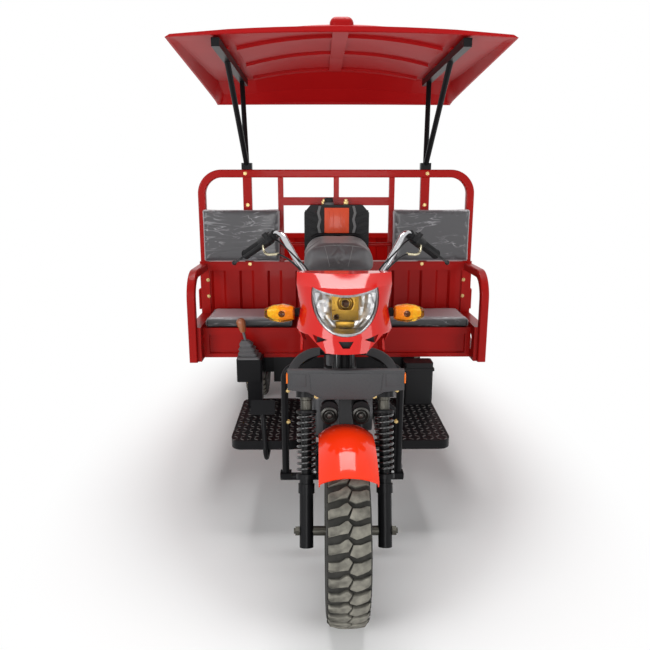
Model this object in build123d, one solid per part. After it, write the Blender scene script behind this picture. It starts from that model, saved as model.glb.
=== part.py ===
from build123d import *
import os
from math import cos, pi, radians, sin

# Cargo motor tricycle with a passenger bench and a hard canopy, in millimetres.
# X points to the rider's left, Y rearwards, Z up. While modelling, Y is measured from the
# front axle; on export everything moves so that the origin is on the ground, mid length.

# Overall layout
WHEELBASE = 2200.0
REAR_TRACK = 960.0
BOX_FRONT = 1222.0  # front axle to the front face of the load box
BOX_LENGTH = 1850.0  # front face of the load box to the outer face of the tailgate
BOX_WIDTH = 1310.0
BOX_BOTTOM = 590.0  # underside of the front wall, on top of the ladder frame
FLOOR_TOP = 670.0
WALL_TOP = 996.0
RAIL_TOP = 1424.0
POST = 44.0  # square corner posts of the load box

# Clearances
FIT = 0.3  # between pieces that are bolted or laid side by side
RUN = 0.05  # radial clearance of a shaft that turns in its bore
SWING = 6.0  # round the gates and other pieces that swing

# Wheels
TYRE_RADIUS = 284.0
TYRE_WIDTH = 132.0
TREAD_RADIUS = 266.0  # to the foot of the lugs
LUGS = 30  # in each of two rows round the tread
LUG_INNER = 6.0  # from the middle of the tread to a lug
LUG_OUTER = 54.0
LUG_HALF = 17.0  # half length along the tread
LUG_SKEW = 6.0
RIM_RADIUS = 158.0
RIM_WIDTH = 100.0
RIM_WALL = 6.0
FLANGE_RISE = 14.0
HUB_RADIUS = 44.0
FRONT_PIN = 9.0  # radius of the front axle
REAR_SHAFT = 16.0  # radius of the rear half shafts
FRONT_HUB = 120.0  # length of the front hub along the axle
REAR_HUB = 110.0
DRUM_RADIUS = 96.0

# Steering and fork
RAKE = 18.0  # lean of the steering axis from upright, degrees
FORK_OFFSET = 45.0  # axle ahead of the steering axis, along Y
LEG_SPACING = 250.0
SLIDER_RADIUS = 22.0
TUBE_RADIUS = 16.5
SPRING_RADIUS = 26.0
SPRING_WIRE = 4.0
SPRING_COILS = 10
SPRING_LOW = 165.0  # heights along the steering axis, from the level of the front axle
CROWN_LOW = 409.0
CROWN_HIGH = 449.0
HEAD_LOW = 494.0
HEAD_HIGH = 658.0
YOKE_LOW = 666.0
YOKE_HIGH = 688.0
BAR_HEIGHT = 730.0
STEM_RADIUS = 25.0
HEAD_RADIUS = 34.0

# Handlebar
BAR_RADIUS = 11.0
BAR_RISE = (218.0, 415.0, 1198.0)  # upper bend of the bar
BAR_END = (357.0, 580.0, 1100.0)
BAR_BEND = 45.0
CLAMP_HALF = 80.0  # half length of the straight middle of the bar
GRIP_LENGTH = 118.0
GRIP_RADIUS = 17.0
MIRROR_HOLE = 5.0  # radius of the threaded holes for mirrors
MIRROR_DEPTH = 18.0
MIRROR_AHEAD = 27.0

# Nose fairing and headlamp: rows of height, half width, middle, side and rear stations
NOSE_ROWS = (
    (1075.0, 156.0, 215.0, 262.0, 296.0),
    (1038.0, 157.0, 146.0, 246.0, 302.0),
    (960.0, 145.0, 106.0, 238.0, 305.0),
    (897.0, 158.0, 84.0, 250.0, 300.0),
    (845.0, 124.0, 68.0, 230.0, 262.0),
)
NOSE_WALL = 5.0
LENS_GAP = 1.0
LAMP_BACK = 204.0  # station of the back of the headlamp bowl
CHEEK_Y = 212.0  # the chin stands ahead of this station

# Front bumper plate and mudguard
PLATE_Y = 60.0
PLATE_HALF = 182.0
PLATE_TOP = 796.0
PLATE_DEPTH = 26.0
FENDER_RADIUS = 338.0
FENDER_HALF = 86.0
FENDER_WALL = 4.0
FENDER_AHEAD = 35.0  # degrees of the mudguard ahead of the top, and behind it
FENDER_BEHIND = 42.0

# Chassis
TUBE = 14.0  # radius of the cradle tubes
CRADLE_Z = 344.0
CRADLE_HALF = 110.0
LADDER_INSET = 150.0  # side rail of the ladder inside the middle of a rear tyre
LADDER_HEIGHT = 70.0
LADDER_WIDTH = 44.0
LADDER_FRONT = 968.0
SPINE_RADIUS = 26.0
SPINE = ((0, 500, 800), (0, 760, 790), (0, LADDER_FRONT, BOX_BOTTOM - 48))  # backbone bends and end
GUARD_Y = 345.0
GUARD_HALF = 207.0
GUARD_TOP = 782.0
GUARD_TUBE = 13.0

# Footboards and rider's seat
BOARD_FRONT = 463.0
BOARD_REAR = 961.0
BOARD_HALF = 427.0
BOARD_INNER = 150.0
BOARD_TOP = 394.0
BOARD_DEPTH = 36.0
SEAT_FRONT = 795.0
SEAT_REAR = 1120.0
SEAT_HALF = 148.0
SEAT_LOW = 1000.0
SEAT_HIGH = 1112.0

# Passenger bench
BENCH_FRONT = 965.0
BENCH_TOP = 727.0
BENCH_SIDE = 15.0  # between the bench and the arm beside it
ARM_FRONT = 874.0
ARM_TUBE = 36.0
ARM_BEND = 105.0
ARM_Z = 970.0
CUSHION_RISE = 42.0
CUSHION_INNER = 196.0
BACK_LOW = 999.0
BACK_HIGH = 1245.0
BACK_INNER = 263.0
BACK_SIDE = 27.0  # from a backrest to the side of the load box
BACK_DEEP = 46.0

# Guard rail above the front wall
RAIL_TUBE = 36.0
RAIL_BEND = 95.0
RAIL_BAR = 25.0
RAIL_MIDDLE = 1279.0
RAIL_POSTS = (262.0, 418.0)

# Canopy
CANOPY_FRONT = 583.0
CANOPY_REAR = 1757.0
CANOPY_HALF = 622.0
CANOPY_CEILING = 1868.0
CANOPY_WALL = 8.0
BEAM = 30.0
BEAM_HALF = 450.0

# Gates and floor
GATE = 30.0  # thickness of the drop sides and the tailgate
KNUCKLE = 9.0
FLOOR_SHEET = 22.0
FLUTE = 124.0  # pitch of the pressed flutes
FLAP_GAP = 21.0  # between a rear tyre and its mud flap
LATCH_REACH = 26.0  # latch handles beyond the outer face of a gate

AXLE_Z = TYRE_RADIUS
BOX_REAR = BOX_FRONT + BOX_LENGTH
MID_LENGTH = (BOX_REAR + LATCH_REACH - TYRE_RADIUS) / 2
LEG_HALF = LEG_SPACING / 2
LEG_Y = -FORK_OFFSET * cos(radians(RAKE))
AXLE_S = -FORK_OFFSET * sin(radians(RAKE))
STEER = Pos(0, FORK_OFFSET, AXLE_Z) * Rot(-RAKE, 0, 0)
BAR_MIDDLE = (
    FORK_OFFSET + BAR_HEIGHT * sin(radians(RAKE)),
    AXLE_Z + BAR_HEIGHT * cos(radians(RAKE)),
)
HALF = BOX_WIDTH / 2
LADDER_HALF = REAR_TRACK / 2 - LADDER_INSET
BENCH_HALF = HALF - ARM_TUBE - BENCH_SIDE
BACK_OUTER = HALF - BACK_SIDE
FLAP_Y = WHEELBASE + TYRE_RADIUS + FLAP_GAP
REAR_POST = BOX_REAR - GATE - SWING - POST  # front face of the rear corner posts
RAIL_Y = BOX_FRONT + POST / 2
NODES = {}


def block(x, y, z):
    """A box between low and high values along X, Y and Z."""
    sizes = [high - low for low, high in (x, y, z)]
    middle = [(high + low) / 2 for low, high in (x, y, z)]
    return Pos(*middle) * Box(*sizes)


def rod(start, end, radius):
    """A round bar between two points."""
    along = Vector(end) - Vector(start)
    return extrude(Plane(origin=start, z_dir=along) * Circle(radius), amount=along.length)


def pipe(points, bend, section, across=None):
    """A section swept along straight runs joined by bends."""
    path = FilletPolyline(*points, radius=bend)
    start = Plane(origin=path @ 0, x_dir=across, z_dir=path % 0)
    return sweep(start * section, path=path)


def square(size):
    return RectangleRounded(size, size, size / 6)


def other_side(shape):
    return mirror(shape, about=Plane.YZ)


def both(shape):
    return [shape, other_side(shape)]


def ring(inner, outer, low, high):
    """A ring about the X axis between two radii and two places along X."""
    return revolve(Polygon((low, inner), (high, inner), (high, outer), (low, outer), align=None), Axis.X)


def save(name, *pieces):
    """Keep a node as a list of its separate solids."""
    solids = []
    for piece in pieces:
        for item in piece if isinstance(piece, list) else [piece]:
            solids += item.solids()
    NODES[name] = solids


# Wheels


def tyre_flat(near, far, start):
    """One flat of the carcass between two rings, each given by its place along the axle and its radius."""
    corners = []
    for (x, radius), turns in ((near, (start, start + 1)), (far, (start + 1, start))):
        for turn in turns:
            angle = 2 * pi * turn / LUGS
            corners.append((x, radius * sin(angle), radius * cos(angle)))
    return make_face(Polyline(*corners, close=True))


def lug(side, top):
    """One slanted lug on the top of the tread."""
    ends = ((side * LUG_INNER, -LUG_SKEW), (side * LUG_OUTER, LUG_SKEW))  # across and along the tread
    outline = [(x, along - LUG_HALF) for x, along in ends]
    outline += [(x, along + LUG_HALF) for x, along in reversed(ends)]
    foot = TREAD_RADIUS - 8
    return Pos(0, 0, foot) * extrude(make_face(Polyline(*outline, close=True)), amount=top - foot)


def tyre():
    """Carcass with straight walls, and two staggered rows of lugs."""
    half = TYRE_WIDTH / 2
    bead = RIM_WIDTH / 2 - FIT
    bead_radius = RIM_RADIUS + FLANGE_RISE + 2
    walls = ((bead, bead_radius), (half, (bead_radius + TREAD_RADIUS) / 2), (half - 3, TREAD_RADIUS - 12))
    walls += ((half - 11, TREAD_RADIUS),)  # distance from the middle and radius
    rows = [(-x, radius) for x, radius in walls] + list(reversed(walls))
    seat = (RIM_RADIUS + FIT) / cos(pi / LUGS)
    rows += [(bead, seat), (-bead, seat)]
    flats = []
    for near, far in zip(rows, rows[1:] + rows[:1]):
        flats += [tyre_flat(near, far, start) for start in range(LUGS)]
    carcass = Solid(Shell(flats))
    top = (TYRE_RADIUS ** 2 - (LUG_HALF + LUG_SKEW) ** 2) ** 0.5
    pitch = 360 / LUGS
    lugs = []
    for side in (-1, 1):
        for index in range(LUGS):
            lugs.append(Rot(side * pitch / 4 + index * pitch, 0, 0) * lug(side, top))
    return carcass.fuse(*lugs)


def rim(hub_length, bore, dish):
    half = RIM_WIDTH / 2
    lip = 4
    wheel = ring(RIM_RADIUS - RIM_WALL, RIM_RADIUS, -half, half)
    for side in (-1, 1):
        edges = sorted((side * half, side * (half + lip)))
        wheel += ring(RIM_RADIUS - RIM_WALL, RIM_RADIUS + FLANGE_RISE, *edges)
    wheel += ring(HUB_RADIUS - 2, RIM_RADIUS - RIM_WALL + 1, dish - 4, dish + 4)
    wheel += ring(bore, HUB_RADIUS, -hub_length / 2, hub_length / 2)
    hole_circle = (HUB_RADIUS + RIM_RADIUS) / 2 + 4
    for index in range(8):
        place = Rot(index * 45, 0, 0) * Pos(dish, 0, hole_circle) * Rot(0, 90, 0)
        wheel -= place * Cylinder(17, 20)
    return wheel


def drum(low, high):
    """Brake drum fused to the inner end of a hub."""
    return ring(HUB_RADIUS - 2, DRUM_RADIUS, low, high)


FRONT_AXLE = Pos(0, 0, AXLE_Z)
lugged_tyre = tyre()
save("front_tyre", FRONT_AXLE * lugged_tyre)
front_drum = drum(-FRONT_HUB / 2 + 4, -16)
save("front_wheel_disc", FRONT_AXLE * (rim(FRONT_HUB, FRONT_PIN + RUN, 8) + front_drum))
for side, word in ((1, "left"), (-1, "right")):
    place = Pos(side * REAR_TRACK / 2, WHEELBASE, AXLE_Z)
    disc = rim(REAR_HUB, REAR_SHAFT + RUN, 20) + drum(-REAR_HUB / 2, -8)
    save("rear_tyre_" + word, place * lugged_tyre)
    save("rear_wheel_disc_" + word, place * (disc if side > 0 else other_side(disc)))

# Front axle, fork, springs and yokes


def front_axle():
    reach = LEG_HALF + SLIDER_RADIUS
    shaft = rod((-reach - 18, 0, AXLE_Z), (reach + 18, 0, AXLE_Z), FRONT_PIN)
    spacer_in = FRONT_HUB / 2 + 1
    for side in (-1, 1):
        inner = (side * spacer_in, 0, AXLE_Z)
        outer = (side * (LEG_HALF - SLIDER_RADIUS), 0, AXLE_Z)
        shaft += rod(inner, outer, FRONT_PIN + 6)
        nut = Plane(origin=(side * reach, 0, AXLE_Z), z_dir=(side, 0, 0)) * RegularPolygon(16, 6)
        shaft += extrude(nut, amount=13)
    return shaft


def fork_leg():
    slider_low = AXLE_S - 50
    cup = 14
    leg = Pos(0, 0, (slider_low + SPRING_LOW) / 2) * Cylinder(SLIDER_RADIUS, SPRING_LOW - slider_low)
    leg += Pos(0, 0, SPRING_LOW - cup / 2) * Cylinder(SPRING_RADIUS + SPRING_WIRE + 2, cup)
    leg += Pos(0, 0, (SPRING_LOW + CROWN_LOW) / 2) * Cylinder(TUBE_RADIUS, CROWN_LOW - SPRING_LOW)
    leg += Pos(0, 0, SPRING_LOW - 45) * Cylinder(SLIDER_RADIUS + 4, 30)
    leg -= Pos(0, 0, AXLE_S) * Rot(0, 90, 0) * Cylinder(FRONT_PIN + RUN, 4 * SLIDER_RADIUS)
    boss_end = 2 * SLIDER_RADIUS
    leg -= Pos(SLIDER_RADIUS + boss_end / 2, 0, AXLE_S) * Rot(0, 90, 0) * Cylinder(24, boss_end)
    leg -= Pos(-SLIDER_RADIUS - boss_end / 2, 0, AXLE_S) * Rot(0, 90, 0) * Cylinder(24, boss_end)
    return leg


def fork_spring():
    height = CROWN_LOW - SPRING_LOW - 2 * SPRING_WIRE - 2 * FIT
    coil = Helix(height / SPRING_COILS, height, SPRING_RADIUS)
    wire = Plane(origin=coil @ 0, z_dir=coil % 0) * RegularPolygon(SPRING_WIRE, 8)
    return Pos(0, 0, SPRING_LOW + SPRING_WIRE + FIT) * sweep(wire, path=coil, is_frenet=True)


def fork_crown():
    boss = SPRING_RADIUS + SPRING_WIRE + 4
    outline = Circle(HEAD_RADIUS + 10)
    for side in (-1, 1):
        outline += Pos(side * LEG_HALF, LEG_Y) * Circle(boss)
    plate = Pos(0, 0, CROWN_LOW) * extrude(make_hull(outline.edges()), amount=CROWN_HIGH - CROWN_LOW)
    for side in (-1, 1):
        cap = Pos(side * LEG_HALF, LEG_Y, CROWN_HIGH)
        plate += cap * extrude(Circle(TUBE_RADIUS + 3), amount=8)
        plate += cap * extrude(RegularPolygon(14, 6), amount=18)
    collar_top = HEAD_LOW - SWING
    plate += Pos(0, 0, (CROWN_HIGH + collar_top) / 2) * Cylinder(HEAD_RADIUS + 4, collar_top - CROWN_HIGH)
    plate += Pos(0, 0, (CROWN_HIGH + YOKE_LOW) / 2) * Cylinder(STEM_RADIUS, YOKE_LOW - CROWN_HIGH)
    return plate


def top_yoke():
    riser_x = 32
    outline = Circle(HEAD_RADIUS + 2)
    for side in (-1, 1):
        outline += Pos(side * riser_x, 0) * Circle(24)
    yoke = Pos(0, 0, YOKE_LOW) * extrude(make_hull(outline.edges()), amount=YOKE_HIGH - YOKE_LOW)
    for side in (-1, 1):
        low = (side * riser_x - 15, side * riser_x + 15)
        yoke += block(low, (-20, 20), (YOKE_HIGH - 1, BAR_HEIGHT + 20))
    yoke -= Pos(0, 0, BAR_HEIGHT) * Rot(0, 90, 0) * Cylinder(BAR_RADIUS, 200)
    return yoke


save("front_axle", front_axle())
save("fork_legs", [STEER * Pos(side * LEG_HALF, LEG_Y, 0) * fork_leg() for side in (-1, 1)])
save("fork_springs", [STEER * Pos(side * LEG_HALF, LEG_Y, 0) * fork_spring() for side in (-1, 1)])

# Handlebar with grips, switch pods and levers


def handlebar():
    points = [BAR_END, BAR_RISE, (CLAMP_HALF, *BAR_MIDDLE)]
    points += [(-x, y, z) for x, y, z in reversed(points)]
    return pipe(points, BAR_BEND, Circle(BAR_RADIUS))


BAR_ALONG = (Vector(*BAR_END) - Vector(*BAR_RISE)).normalized()
BAR_AHEAD = (Vector(0, -1, 0) - BAR_ALONG * Vector(0, -1, 0).dot(BAR_ALONG)).normalized()
BAR_FRAME = Plane(origin=BAR_END, x_dir=BAR_ALONG, z_dir=BAR_ALONG.cross(BAR_AHEAD))


def bar_sleeve(start, end, radius):
    """A sleeve on the bar, between two distances inwards from its end."""
    tube = ring(BAR_RADIUS, radius, -start, -end)
    return BAR_FRAME * tube


def grip():
    cap = Rot(0, 90, 0) * Pos(0, 0, FIT + 3) * Cylinder(BAR_RADIUS + 2, 6)
    return bar_sleeve(GRIP_LENGTH, -6, GRIP_RADIUS) + BAR_FRAME * cap


def control_pod():
    pod_start = GRIP_LENGTH + 50
    return bar_sleeve(pod_start, GRIP_LENGTH + FIT, GRIP_RADIUS + 5)


def lever():
    pivot = -(GRIP_LENGTH + 70)
    perch = bar_sleeve(-pivot + 14, -pivot - 14, BAR_RADIUS + 6)
    arm = Polyline((pivot, BAR_RADIUS + 2), (pivot, 40))
    path = FilletPolyline((pivot, 34), (pivot + 45, 52), (-40, 62), (32, 46), radius=30)
    blade = extrude(trace(path, 11), amount=8)
    perch_arm = extrude(trace(arm, 20), amount=18)
    shape = Pos(0, 0, -9) * perch_arm + Pos(0, 0, -4) * blade + Pos(32, 46, 0) * Sphere(9)
    boss = Pos(pivot, MIRROR_AHEAD, -9) * extrude(Circle(10), amount=-MIRROR_DEPTH)
    hole = Pos(pivot, MIRROR_AHEAD, -9) * extrude(Circle(MIRROR_HOLE), amount=-MIRROR_DEPTH - 1)
    return perch + BAR_FRAME * (shape + boss - hole)


save("handlebar", handlebar())
save("grips", both(grip()))
save("hand_controls", both(control_pod()), both(lever()))

# Nose fairing, headlamp and turn signals


def nose_row(height, half, middle, side, rear):
    front = ThreePointArc((-half, side), (0, middle), (half, side))
    back = Polyline((half, side), (half, rear), (-half, rear), (-half, side))
    return Pos(0, 0, height) * make_face([front, back])


def nose_body(inset):
    """The nose as a closed form, drawn in from its outer face by inset."""
    rows = []
    last = len(NOSE_ROWS) - 1
    for index, (height, half, middle, side, rear) in enumerate(NOSE_ROWS):
        top_drop = inset if index == 0 else 0
        foot_drop = 2 * inset if index == last else 0
        open_back = 60 if inset else 0
        rows.append(nose_row(
            height - top_drop - foot_drop, half - inset, middle + inset, side + inset / 2, rear + open_back,
        ))
    return loft(rows, ruled=True)


def lamp_outline(inset):
    tip = (105 - inset, 1038 - inset)
    brow = (0, 1019 - inset)
    cheek = (95 - inset, 955)
    jaw = (46 - inset / 2, 906 + inset / 2)
    chin = (0, 896 + inset)
    edges = [
        ThreePointArc((-tip[0], tip[1]), brow, tip),
        ThreePointArc(tip, cheek, jaw),
        ThreePointArc(jaw, chin, (-jaw[0], jaw[1])),
        ThreePointArc((-jaw[0], jaw[1]), (-cheek[0], cheek[1]), (-tip[0], tip[1])),
    ]
    return Plane.XZ * make_face(edges)


def lamp_prism(inset, start, end):
    """The lamp's outline carried along Y from one station to another."""
    return Pos(0, end, 0) * extrude(lamp_outline(inset), amount=end - start)


def vents():
    side_vent = Plane.XZ * make_face(Polyline((-104, 897), (-58, 886), (-92, 872), close=True))
    middle_vent = Plane.XZ * make_face(Polyline((-24, 883), (24, 883), (10, 862), (-10, 862), close=True))
    cut = extrude(side_vent, amount=-400)
    return cut + other_side(cut) + extrude(middle_vent, amount=-400)


def chin_cuts():
    """Wedges that leave a pointed chin in front of the cheeks."""
    outline = Polyline((-175, 893), (-118, 893), (-66, 848), (-66, 800), (-175, 800), close=True)
    wedge = Pos(0, CHEEK_Y, 0) * extrude(Plane.XZ * make_face(outline), amount=CHEEK_Y)
    return wedge + other_side(wedge)


NOSE_FRONT = NOSE_ROWS[-1][2]
nose_outer = nose_body(0)
nose_inner = nose_body(NOSE_WALL)
nose_shell = nose_outer - nose_inner
nose_cuts = lamp_prism(0, NOSE_FRONT - 50, LAMP_BACK) + vents() + chin_cuts()
save("nose_fairing", nose_shell - nose_cuts)
save("headlamp_lens", nose_shell & lamp_prism(LENS_GAP, NOSE_FRONT - 50, LAMP_BACK))
bowl = nose_inner & lamp_prism(LENS_GAP + FIT, NOSE_FRONT, LAMP_BACK)
bowl -= lamp_prism(LENS_GAP + 7, NOSE_FRONT - 50, LAMP_BACK - 8)
save("headlamp_bowl", bowl)


SIGNAL_OUT = 164.0
SIGNAL_Y = 236.0
SIGNAL_Z = 943.0


def turn_signal():
    rows = ((0, 44, 40, 9), (45, 60, 52, 12), (100, 34, 34, 8))  # reach, height, depth, corner
    sections = []
    for reach, height, depth, corner in rows:
        place = Pos(SIGNAL_OUT + reach, SIGNAL_Y, SIGNAL_Z) * Rot(0, 90, 0)
        sections.append(place * RectangleRounded(height, depth, corner))
    return loft(sections, ruled=True)


def signal_stalk():
    stalk = 11
    upper, lower = NOSE_ROWS[2], NOSE_ROWS[3]
    share = (upper[0] - SIGNAL_Z + stalk) / (upper[0] - lower[0])
    wall = upper[1] + share * (lower[1] - upper[1])
    station = SIGNAL_Y + 14
    return rod((wall + FIT, station, SIGNAL_Z), (SIGNAL_OUT - FIT, station, SIGNAL_Z), stalk)


save("turn_signals", both(turn_signal()))
save("signal_stalks", both(signal_stalk()))

# Brackets that carry the nose, bumper plate, mudguard and horns on the fork


def nose_bracket():
    """Tongue on the top yoke with a plate behind the headlamp bowl."""
    lamp = LAMP_BACK + FIT
    thick = 5
    slope = cos(radians(RAKE))
    reach = (lamp + 1 - FORK_OFFSET - YOKE_HIGH * sin(radians(RAKE))) / slope
    tongue = STEER * block((-14, 14), (reach, -4), (YOKE_HIGH, YOKE_HIGH + thick))
    level = (STEER * Pos(0, reach, YOKE_HIGH)).position.Z
    return tongue + block((-60, 60), (lamp, lamp + thick), (level - 40, level + 12))


def bumper_plate():
    drops = ((PLATE_HALF, 0), (PLATE_HALF, 65), (118, 72), (75, 96))  # half width and depth under the top
    corners = [(x, PLATE_TOP - drop) for x, drop in drops]
    mirrored = [(-x, z) for x, z in reversed(corners)]
    outline = Plane.XZ * make_face(FilletPolyline(*corners, *mirrored, radius=10, close=True))
    plate = Pos(0, PLATE_Y + PLATE_DEPTH, 0) * extrude(outline, amount=PLATE_DEPTH)
    for side in (-1, 1):
        x = side * (PLATE_HALF - 32)
        plate -= block((x - 16, x + 16), (PLATE_Y - 1, PLATE_Y + 8), (PLATE_TOP - 54, PLATE_TOP - 18))
    return plate


def plate_arm():
    """Tongue on the crown that reaches forward to the back of the bumper plate."""
    low = CROWN_HIGH - 1
    ahead = PLATE_Y + PLATE_DEPTH + FIT - FORK_OFFSET - low * sin(radians(RAKE))
    return STEER * block((38, 62), (ahead / cos(radians(RAKE)), LEG_Y + 12), (low, CROWN_HIGH + 6))


def fender_section(inset):
    """Closed cross-section of the mudguard, drawn in from its outer face by inset."""
    shoulder = 34
    low = FENDER_RADIUS - 52
    half = FENDER_HALF - inset
    top = FENDER_RADIUS - inset
    crown = ThreePointArc((-half, top - shoulder), (0, top), (half, top - shoulder))
    edge = low - inset
    sides = Polyline((half, top - shoulder), (half, edge), (-half, edge), (-half, top - shoulder))
    return Plane(origin=(0, 0, 0), x_dir=(1, 0, 0), z_dir=(0, -1, 0)) * make_face([crown, sides])


def fender_arch(profile):
    """A cross-section spun about the front axle over the reach of the mudguard."""
    arch = revolve(profile, Axis.X, revolution_arc=FENDER_AHEAD + FENDER_BEHIND)
    return FRONT_AXLE * Rot(-FENDER_BEHIND, 0, 0) * arch


def fender_perch():
    """Post under the crown that the mudguard is bolted to."""
    post = STEER * block((-20, 20), (LEG_Y - 18, LEG_Y + 8), (FENDER_RADIUS - 40, CROWN_LOW + 1))
    return post - fender_arch(fender_section(-FIT))


def nose_stay():
    """Bright rod that rises from the crown into the chin of the nose."""
    low = (STEER * Pos(20, LEG_Y + 2, CROWN_HIGH - 1)).position
    return rod(low, (20, low.Y + 30, NOSE_ROWS[-1][0] + 12), 6)


def horn():
    """Horn cup on a strap under the crown."""
    strap = STEER * block((45, 57), (-34, -22), (CROWN_LOW - 44, CROWN_LOW - FIT))
    spot = (STEER * Pos(51, -28, CROWN_LOW - 34)).position
    return strap + Pos(spot.X, spot.Y - 12, spot.Z) * Rot(90, 0, 0) * Cylinder(29, 24)


save("top_yoke", STEER * top_yoke() + nose_bracket())
crown = STEER * fork_crown()
for piece in both(plate_arm()) + both(nose_stay()) + [fender_perch()]:
    crown += piece
save("fork_crown", crown)
save("horns", both(horn()))
save("bumper_plate", bumper_plate())
save("front_mudguard", fender_arch(fender_section(0) - fender_section(FENDER_WALL)))

# Main frame: head tube, backbone, cradle and cross tubes


def main_frame():
    axis_low = (STEER * Pos(0, 0, HEAD_LOW)).position
    axis_high = (STEER * Pos(0, 0, HEAD_HIGH)).position
    upper = axis_low + (axis_high - axis_low) * 0.68
    lower = axis_low + (axis_high - axis_low) * 0.3
    frame = rod(axis_low, axis_high, HEAD_RADIUS)
    frame += pipe([tuple(upper), *SPINE], [160, 120], Circle(SPINE_RADIUS))
    for side in (-1, 1):
        points = [
            (side * 18, lower.Y + 14, lower.Z + 10), (side * CRADLE_HALF * 0.6, 400, CRADLE_Z + 60),
            (side * CRADLE_HALF, 460, CRADLE_Z), (side * CRADLE_HALF, LADDER_FRONT - 60, CRADLE_Z),
            (side * CRADLE_HALF, LADDER_FRONT + 20, BOX_BOTTOM - LADDER_HEIGHT / 2),
        ]
        frame += pipe(points, [60, 40, 60], Circle(TUBE))
    for y in (BOARD_FRONT + 70, BOARD_REAR - 90):
        frame += rod((-BOARD_HALF + 20, y, CRADLE_Z), (BOARD_HALF - 20, y, CRADLE_Z), TUBE)
    guard_low = CRADLE_Z - 40
    frame += rod((-GUARD_HALF - 20, GUARD_Y, guard_low), (GUARD_HALF + 20, GUARD_Y, guard_low), TUBE)
    for side in (-1, 1):
        x = side * CRADLE_HALF * 0.8
        frame += rod((x, GUARD_Y, guard_low), (x, 470, CRADLE_Z), TUBE - 2)
        foot = side * GUARD_HALF
        frame += block((foot - 20, foot + 20), (GUARD_Y - 20, GUARD_Y + 20), (guard_low, guard_low + TUBE + 4))
    half = LADDER_HALF + LADDER_WIDTH / 2
    frame += block((-half, half), (LADDER_FRONT, LADDER_FRONT + 44), (BOX_BOTTOM - LADDER_HEIGHT, BOX_BOTTOM))
    frame -= STEER * Pos(0, 0, (HEAD_LOW + HEAD_HIGH) / 2) * Cylinder(STEM_RADIUS + RUN, 2 * HEAD_HIGH)
    return frame


def leg_guard():
    low = CRADLE_Z - 40 + TUBE + 4
    bend = GUARD_TOP - 72
    points = [(GUARD_HALF, GUARD_Y, low), (GUARD_HALF, GUARD_Y, bend), (84, GUARD_Y, GUARD_TOP)]
    points += [(-x, y, z) for x, y, z in reversed(points)]
    return pipe(points, [48, 48, 48, 48], Circle(GUARD_TUBE))


def ladder_frame():
    low = BOX_BOTTOM - LADDER_HEIGHT
    start = LADDER_FRONT + 44
    end = REAR_POST + POST
    ladder = Part()
    for side in (-1, 1):
        x = side * LADDER_HALF
        beam = (x - LADDER_WIDTH / 2, x + LADDER_WIDTH / 2)
        ladder += block(beam, (start, end), (low, BOX_BOTTOM))
    for index in range(4):
        y = start + 260 + index * (end - start - 280) / 3.2
        ladder += block((-LADDER_HALF, LADDER_HALF), (y, y + 50), (low + 8, BOX_BOTTOM - 8))
    return ladder


save("main_frame", main_frame())
save("leg_guard", leg_guard())


def leg_shield():
    """Curved wing on the slanted run of the leg guard."""
    foot = GUARD_TOP - 74
    outer = ThreePointArc((80, GUARD_TOP + 18), (145, GUARD_TOP), (GUARD_HALF - 11, foot))
    inner = ThreePointArc((80, GUARD_TOP - 6), (118, GUARD_TOP - 18), (GUARD_HALF - 37, foot))
    ends = [Line(outer @ 1, inner @ 1), Line(inner @ 0, outer @ 0)]
    wing = extrude(Plane.XZ * make_face([outer, inner, *ends]), amount=14)
    return Pos(0, GUARD_Y - GUARD_TUBE - FIT, 0) * wing


save("leg_shields", both(leg_shield()))

# Engine, exhaust and drive line


def engine():
    low = CRADLE_Z + TUBE
    case = fillet(block((-105, 95), (560, 900), (low, low + 190)).edges(), 22)
    for side, radius, y in ((1, 92, 660), (-1, 94, 670), (1, 70, 815), (-1, 62, 810)):
        cover = Pos(side * 95, y, low + 98) * Rot(0, 90, 0) * Cylinder(radius, 70)
        case += cover
    barrel_tilt = Pos(0, 650, low + 180) * Rot(12, 0, 0)
    case += barrel_tilt * Pos(0, 0, 70) * Cylinder(44, 150)
    for index in range(8):
        fin = Pos(0, 0, 22 + index * 15) * extrude(RectangleRounded(128, 122, 20), amount=5)
        case += barrel_tilt * fin
    case += barrel_tilt * Pos(0, 0, 140) * extrude(RectangleRounded(112, 108, 16), amount=52)
    return case


def exhaust():
    """Header from the front of the cylinder head, down and back to a silencer under the ladder."""
    low = 250
    points = [
        (0, 562.2, 688.9), (0, 494, 674.4), (110, 440, 610), (200, 424, 520),
        (200, 424, low + 20), (235, 540, low), (235, 1010, low),
    ]
    header = pipe(points, [34, 40, 40, 45, 60], Circle(17))
    muffler = rod((235, 1000, low), (235, 1500, low), 46)
    tail = rod((235, 1495, low), (235, 1620, low + 10), 15)
    hanger = rod((250, 1240, low + 40), (318, 1240, BOX_BOTTOM - LADDER_HEIGHT - 5), 8)
    hook = block((310, 346), (1225, 1255), (BOX_BOTTOM - LADDER_HEIGHT - 12, BOX_BOTTOM - LADDER_HEIGHT))
    return header + muffler + tail + hanger + hook


def drive_shaft():
    start = Vector(0, 900, CRADLE_Z + TUBE + 90)
    end = Vector(0, WHEELBASE - 165, AXLE_Z)
    along = (end - start).normalized()
    radius = 20
    shift = along * (radius * abs(along.Z) + FIT)
    return rod(start + shift, end - shift, radius)


save("engine", engine())
save("exhaust", exhaust())

# Rear axle, leaf springs and drive shaft


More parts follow.
